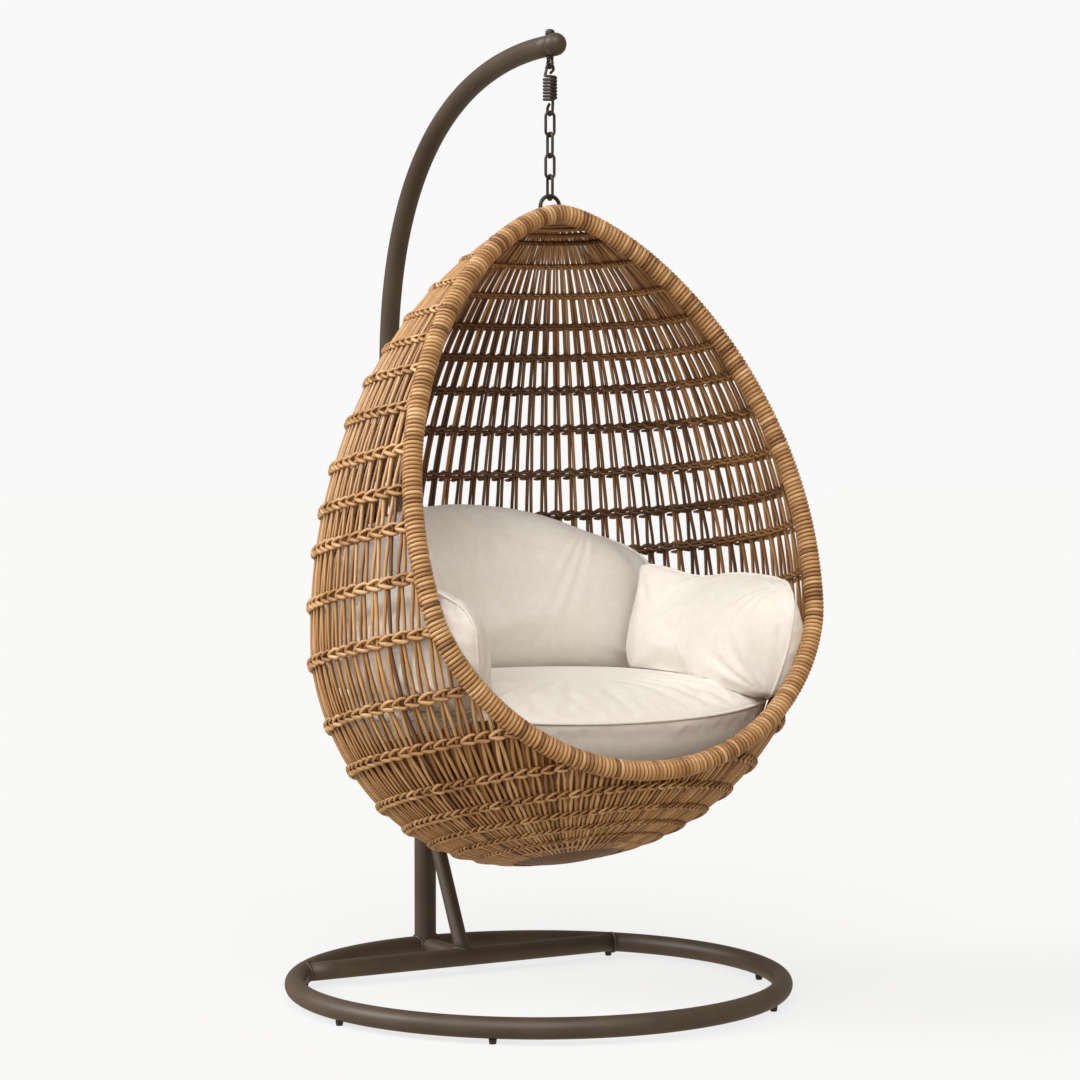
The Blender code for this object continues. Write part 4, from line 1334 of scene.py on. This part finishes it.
def bead(name, start, end, radius, inside):
    """A weld bead where a straight tube that begins inside another one comes out of its skin."""
    start, end = np.array(start), np.array(end)
    along = unit(end - start)
    across = unit(np.cross(along, WELD_ASKEW))
    turn = np.linspace(0, 2 * math.pi, WELD_STEPS, endpoint=False)[:, None]
    ring = start + radius * turned_about(np.broadcast_to(across, (WELD_STEPS, 3)), along, turn)
    near = np.zeros((WELD_STEPS, 1))
    far = np.full((WELD_STEPS, 1), WELD_SEARCH)
    for _ in range(WELD_HALVINGS):
        half = (near + far) / 2
        within = inside(ring + along * half)[:, None]
        near = np.where(within, half, near)
        far = np.where(within, far, half)
    ripple = WELD_BEAD * (1 + WELD_RIPPLE * np.sin(WELD_RIPPLES * turn[:, 0]))
    path = ring + along * far
    strands = Strands()
    strands.add(path, carried(path, True), ripple, ripple, WELD_SIDES, closed=True)
    put(name, strands.mesh(name), POWDER_LOOK, "stand", "powder_coat")


def in_ring(points):
    out = np.hypot(points[:, 0], points[:, 1] - RING_Y) - RING_RADIUS
    return np.hypot(out, points[:, 2] - RING_Z) < RING_TUBE


def in_cross(points):
    return np.hypot(points[:, 1] - CROSS_Y, points[:, 2] - RING_Z) < CROSS_TUBE


def in_post(points):
    return np.hypot(points[:, 0], points[:, 1] - POST_Y) < POST_TUBE


def stand():
    half = math.sqrt(RING_RADIUS**2 - (CROSS_Y - RING_Y) ** 2)
    left = (-half, CROSS_Y, RING_Z)
    right = (half, CROSS_Y, RING_Z)
    cross = (0, CROSS_Y, RING_Z)
    foot = (0, POST_Y, RING_Z)
    head = (0, POST_Y, BRACE_TOP)
    tubes = {
        "base_ring": (hoop_path(RING_STEPS), RING_TUBE, True),
        "cross_tube": (straight(left, right), CROSS_TUBE, False),
        "link_tube": (straight(cross, foot), LINK_TUBE, False),
        "brace_tube": (straight(cross, head), BRACE_TUBE, False),
        "pole": (pole_path(), POLE_TUBE, False),
    }
    for name, (path, radius, closed) in tubes.items():
        mesh = swept(path, radius, TUBE_SIDES, closed).mesh(name + "_coated")
        put(name + "_coated", mesh, POWDER_LOOK, "stand", "powder_coat", name)
    lip = POST_TUBE - POST_WALL
    profile = (
        (lip, POST_TOP), (POST_TUBE - EDGE, POST_TOP), (POST_TUBE, POST_TOP - EDGE), (POST_TUBE, RING_Z),
        (lip, RING_Z), (lip, POST_TOP),
    )
    turned_piece(
        "lower_post_coated", profile, (0, POST_Y, 0), (0, 0, 0), POWDER_LOOK, "powder_coat", "lower_post",
        sides=POST_SIDES,
    )
    bead("weld_left", left, right, CROSS_TUBE, in_ring)
    bead("weld_right", right, left, CROSS_TUBE, in_ring)
    bead("weld_link_front", cross, foot, LINK_TUBE, in_cross)
    bead("weld_link_back", foot, cross, LINK_TUBE, in_ring)
    bead("weld_post", foot, (0, POST_Y, POST_TOP), POST_TUBE, in_ring)
    bead("weld_brace_foot", cross, head, BRACE_TUBE, in_cross)
    bead("weld_brace_head", head, cross, BRACE_TUBE, in_post)


stand()


# Turned hardware and feet


def feet():
    for number in range(1, FEET + 1):
        middle = middle_of(f"foot_{number}")
        place = (middle.x, middle.y, 0)
        turned_piece(
            f"rubber_foot_{number}", FOOT_OUTLINE, place, (0, 0, 0), RUBBER_LOOK, "rubber", f"foot_{number}"
        )


def bolts():
    """Domed heads on the back of the post."""
    turns = np.radians((20, 40, 60, 78, 90))
    dome = [(BOLT_HEAD * math.sin(turn), BOLT_RIM + BOLT_DOME * math.cos(turn)) for turn in turns]
    shank = [(BOLT_HEAD, 0), (BOLT_SHANK, 0), (BOLT_SHANK, -BOLT_DEPTH), (0, -BOLT_DEPTH)]
    outline = [(0, BOLT_RIM + BOLT_DOME), *dome, *shank]
    for number in range(1, BOLTS + 1):
        cad_node = f"post_bolt_{number}"
        _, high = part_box(cad_node)
        place = (0, high[1] - BOLT_RIM - BOLT_DOME, middle_of(cad_node).z)
        turned_piece(
            f"bolt_{number}", outline, place, (-math.pi / 2, 0, 0), BRONZE_LOOK, "hardware", cad_node
        )


def end_cap():
    cap = POLE_TUBE + CAP_WALL
    inside = POLE_TUBE + CAP_PLAY
    turns = np.radians(np.arange(90, -1, -10))
    dome = [(cap * math.cos(turn), cap * math.sin(turn)) for turn in turns]
    skirt = [(cap, EDGE - CAP_SKIRT), (cap - EDGE, -CAP_SKIRT), (inside, -CAP_SKIRT), (inside, GAP), (0, GAP)]
    place = (0, HANG_Y - TIP_OVERHANG, POLE_TIP_HEIGHT)
    turned_piece(
        "end_cap", dome + skirt, place, (math.pi / 2, 0, 0), POWDER_LOOK, "powder_coat", "pole_end_cap"
    )


def washer_and_nut():
    """What holds the eye bolt on top of the pole."""
    place = (0, HANG_Y, 0)
    low, high = (corner[2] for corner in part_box("eye_bolt_washer"))
    bore = SHANK_RADIUS + GAP
    outline = [
        (bore, high), (WASHER_RADIUS - FINE_EDGE, high), (WASHER_RADIUS, high - FINE_EDGE),
        (WASHER_RADIUS, low), (bore, low), (bore, high),
    ]
    turned_piece("washer", outline, place, (0, 0, 0), BRONZE_LOOK, "hardware", "eye_bolt_washer")
    low, high = (corner[2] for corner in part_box("eye_bolt_nut"))
    rise = (high - low) * NUT_DOME
    turns = np.radians(np.arange(0, 91, 15))
    dome = [(NUT_RADIUS * math.sin(turn), high - rise * (1 - math.cos(turn))) for turn in turns]
    outline = [*dome, (NUT_RADIUS, low), (0, low)]
    turned_piece("dome_nut", outline, place, (0, 0, 0), BRONZE_LOOK, "hardware", "eye_bolt_nut")


feet()
bolts()
end_cap()
washer_and_nut()


# Hanging gear


def arc(radius, first, last, count):
    turn = np.radians(np.linspace(first, last, count))
    return np.stack([radius * np.cos(turn), radius * np.sin(turn)], axis=1)


def hung(x, y, z):
    """Points under the tip of the pole. A value that is the same all along is given once."""
    return np.stack(np.broadcast_arrays(x, HANG_Y + np.asarray(y), z), axis=1)


def wire(name, path, radius, body, cad_node, closed=True):
    put(name, swept(path, radius, WIRE_SIDES, closed).mesh(name), BRONZE_LOOK, body, "hardware", cad_node)


def chain():
    for number in range(1, LINKS + 1):
        middle = middle_of(f"chain_link_{number}").z
        bend = LINK_WIDTH / 2 - LINK_WIRE
        reach = LINK_LENGTH / 2 - LINK_WIRE - bend
        top = arc(bend, 0, 180, LINK_STEPS) + (0, middle + reach)
        bottom = arc(bend, 180, 360, LINK_STEPS) + (0, middle - reach)
        across, height = np.concatenate([top, bottom]).T
        path = hung(0.0, across, height) if number % 2 == 0 else hung(across, 0.0, height)
        wire(f"link_{number}_wire", path, LINK_WIRE, f"link_{number}", f"chain_link_{number}")


def eye_bolt():
    """A ring under the pole, with its shoulder and the shank that goes up through it."""
    across, height = arc(EYE_RADIUS, 0, 360, EYE_STEPS + 1)[:-1].T
    wire("eye_ring", hung(0.0, across, EYE_Z + height), EYE_WIRE, "stand", "eye_bolt")
    _, (_, _, top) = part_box("eye_bolt")
    low = EYE_Z + EYE_RADIUS
    high = low + SHOULDER_LENGTH
    foot_radius, foot_depth = SHOULDER_FOOT
    outline = [
        (0, top), (SHANK_RADIUS - FINE_EDGE, top), (SHANK_RADIUS, top - FINE_EDGE), (SHANK_RADIUS, high),
        (SHOULDER_RADIUS - FINE_EDGE, high), (SHOULDER_RADIUS, high - FINE_EDGE), (SHOULDER_RADIUS, low),
        (foot_radius, low - foot_depth), (0, low - foot_depth),
    ]
    turned_piece("eye_shank", outline, (0, HANG_Y, 0), (0, 0, 0), BRONZE_LOOK, "hardware")


def basket_eye():
    """An arch of wire on top of the basket, hung in the last link."""
    (_, _, low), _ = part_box("basket_eye")
    arch = BASKET_EYE_WIDTH / 2 - BASKET_EYE_WIRE
    last_bend = middle_of(f"chain_link_{LINKS}").z - LINK_LENGTH / 2 + LINK_WIRE
    crest = last_bend + LINK_WIRE + BASKET_EYE_WIRE + GAP
    top = arc(arch, 0, 180, BASKET_EYE_STEPS) + (0, crest - arch)
    across, height = np.concatenate([[(arch, low)], top, [(-arch, low)]]).T
    path = hung(across, 0.0, height)
    wire("basket_loop", path, BASKET_EYE_WIRE, "basket", "basket_eye", closed=False)


def spring_end(loop):
    """One hooked end, as (across, above) points from its free tail to the coil, and its loop's height."""
    opening = math.radians(LOOP_OPENING)
    tail = np.array((-math.sin(opening), -math.cos(opening))) * 2 * SPRING_WIRE
    middle = loop * math.sin(opening) - tail[1] + 2 * SPRING_WIRE + 2 * GAP
    turn = np.linspace(-opening, math.pi + LOOP_LEAD, LOOP_STEPS)
    points = np.stack([loop * np.cos(turn), middle + loop * np.sin(turn)], axis=1)
    return np.concatenate([[points[0] + tail], points]), middle


def spring():
    """One unbroken wire that stretches between the eye bolt's hook and the chain's."""
    top, top_middle = spring_end(TOP_LOOP)
    bottom, _ = spring_end(BOTTOM_LOOP)
    coil_top = -(top_middle + TOP_LOOP)
    fall = COIL_PITCH * COIL_TURNS
    way = np.linspace(0, 1, round(COIL_TURNS * COIL_STEPS) + 1)
    turn = math.pi + way * COIL_TURNS * 2 * math.pi
    coil = np.stack([COIL_RADIUS * np.cos(turn), COIL_RADIUS * np.sin(turn), coil_top - fall * way], axis=1)
    first = np.stack([top[:, 0], np.zeros(len(top)), coil_top + top[:, 1]], axis=1)
    side = math.copysign(1.0, coil[-1, 1])
    bottom = bottom[::-1]
    last = np.stack([np.zeros(len(bottom)), -side * bottom[:, 0], coil_top - fall - bottom[:, 1]], axis=1)
    path = np.concatenate([first, coil, last]) + (0, HANG_Y, SPRING_Z)
    mesh = swept(path, SPRING_WIRE, SPRING_SIDES).mesh("spring_wire")
    made = put("spring_wire", mesh, BRONZE_LOOK, None, "hardware")
    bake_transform(made)
    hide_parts("spring")


chain()
eye_bolt()
basket_eye()
spring()


# Light, floor and camera


def studio():
    scene = bpy.context.scene
    scene.view_settings.view_transform = "Standard"
    world = bpy.data.worlds.new("studio")
    scene.world = world
    world.use_nodes = True
    tree = world.node_tree
    tree.nodes.clear()
    seen = node(tree, "ShaderNodeBackground", Color=(WHITE, WHITE, WHITE, 1.0), Strength=1.0)
    fill = node(tree, "ShaderNodeBackground", Color=(*FILL, 1.0), Strength=1.0)
    place = node(tree, "ShaderNodeTexCoord")
    height = node(tree, "ShaderNodeSeparateXYZ")
    bounce = node(tree, "ShaderNodeMapRange")
    heights = (("From Min", -FILL_RISE), ("From Max", FILL_RISE), ("To Min", FILL_BELOW), ("To Max", 1.0))
    for socket, value in heights:
        bounce.inputs[socket].default_value = value
    tree.links.new(place.outputs["Generated"], height.inputs["Vector"])
    tree.links.new(height.outputs["Z"], bounce.inputs["Value"])
    tree.links.new(bounce.outputs["Result"], fill.inputs["Strength"])
    rays = node(tree, "ShaderNodeLightPath")
    either = node(tree, "ShaderNodeMixShader")
    output = node(tree, "ShaderNodeOutputWorld")
    tree.links.new(rays.outputs["Is Camera Ray"], either.inputs[0])
    tree.links.new(fill.outputs[0], either.inputs[1])
    tree.links.new(seen.outputs[0], either.inputs[2])
    tree.links.new(either.outputs[0], output.inputs["Surface"])

    falling = FILL[1]
    for name, power, place, spread in (
        ("key", KEY, KEY_FROM, KEY_SPREAD), ("front", FRONT, FRONT_FROM, FRONT_SPREAD),
    ):
        lamp = bpy.data.lights.new(name, "SUN")
        lamp.energy = power
        lamp.angle = math.radians(spread)
        light = bpy.data.objects.new(name, lamp)
        scene.collection.objects.link(light)
        turn, rise = (math.radians(angle) for angle in place)
        source = Vector((math.sin(turn) * math.cos(rise), -math.cos(turn) * math.cos(rise), math.sin(rise)))
        light.rotation_euler = source.to_track_quat("Z", "Y").to_euler()
        falling += power * math.sin(rise) / math.pi

    mesh = bpy.data.meshes.new("floor")
    shape = bmesh.new()
    bmesh.ops.create_grid(shape, x_segments=1, y_segments=1, size=FLOOR_SIZE)
    shape.to_mesh(mesh)
    shape.free()
    floor = bpy.data.objects.new("floor", mesh)
    scene.collection.objects.link(floor)
    floor.visible_diffuse = False
    floor.visible_glossy = False
    pale = (WHITE - FLOOR_GLOW) / falling
    look, _, shader = new_material("white_floor", (pale, pale, pale), 1.0)
    shader.inputs["Specular IOR Level"].default_value = 0.0
    shader.inputs["Emission Color"].default_value = (1.0, 1.0, 1.0, 1.0)
    shader.inputs["Emission Strength"].default_value = FLOOR_GLOW
    mesh.materials.append(look)


def camera():
    data = bpy.data.cameras.new("camera")
    data.lens = CAMERA_LENS
    data.sensor_width = CAMERA_SENSOR
    made = bpy.data.objects.new("camera", data)
    bpy.context.scene.collection.objects.link(made)
    x, y, z = CAMERA_PLACE
    made.location = (x, RING_Y + y, z)
    made.rotation_euler = (math.radians(CAMERA_TILT), 0.0, math.radians(CAMERA_TURN))
    bpy.context.scene.camera = made


studio()
camera()
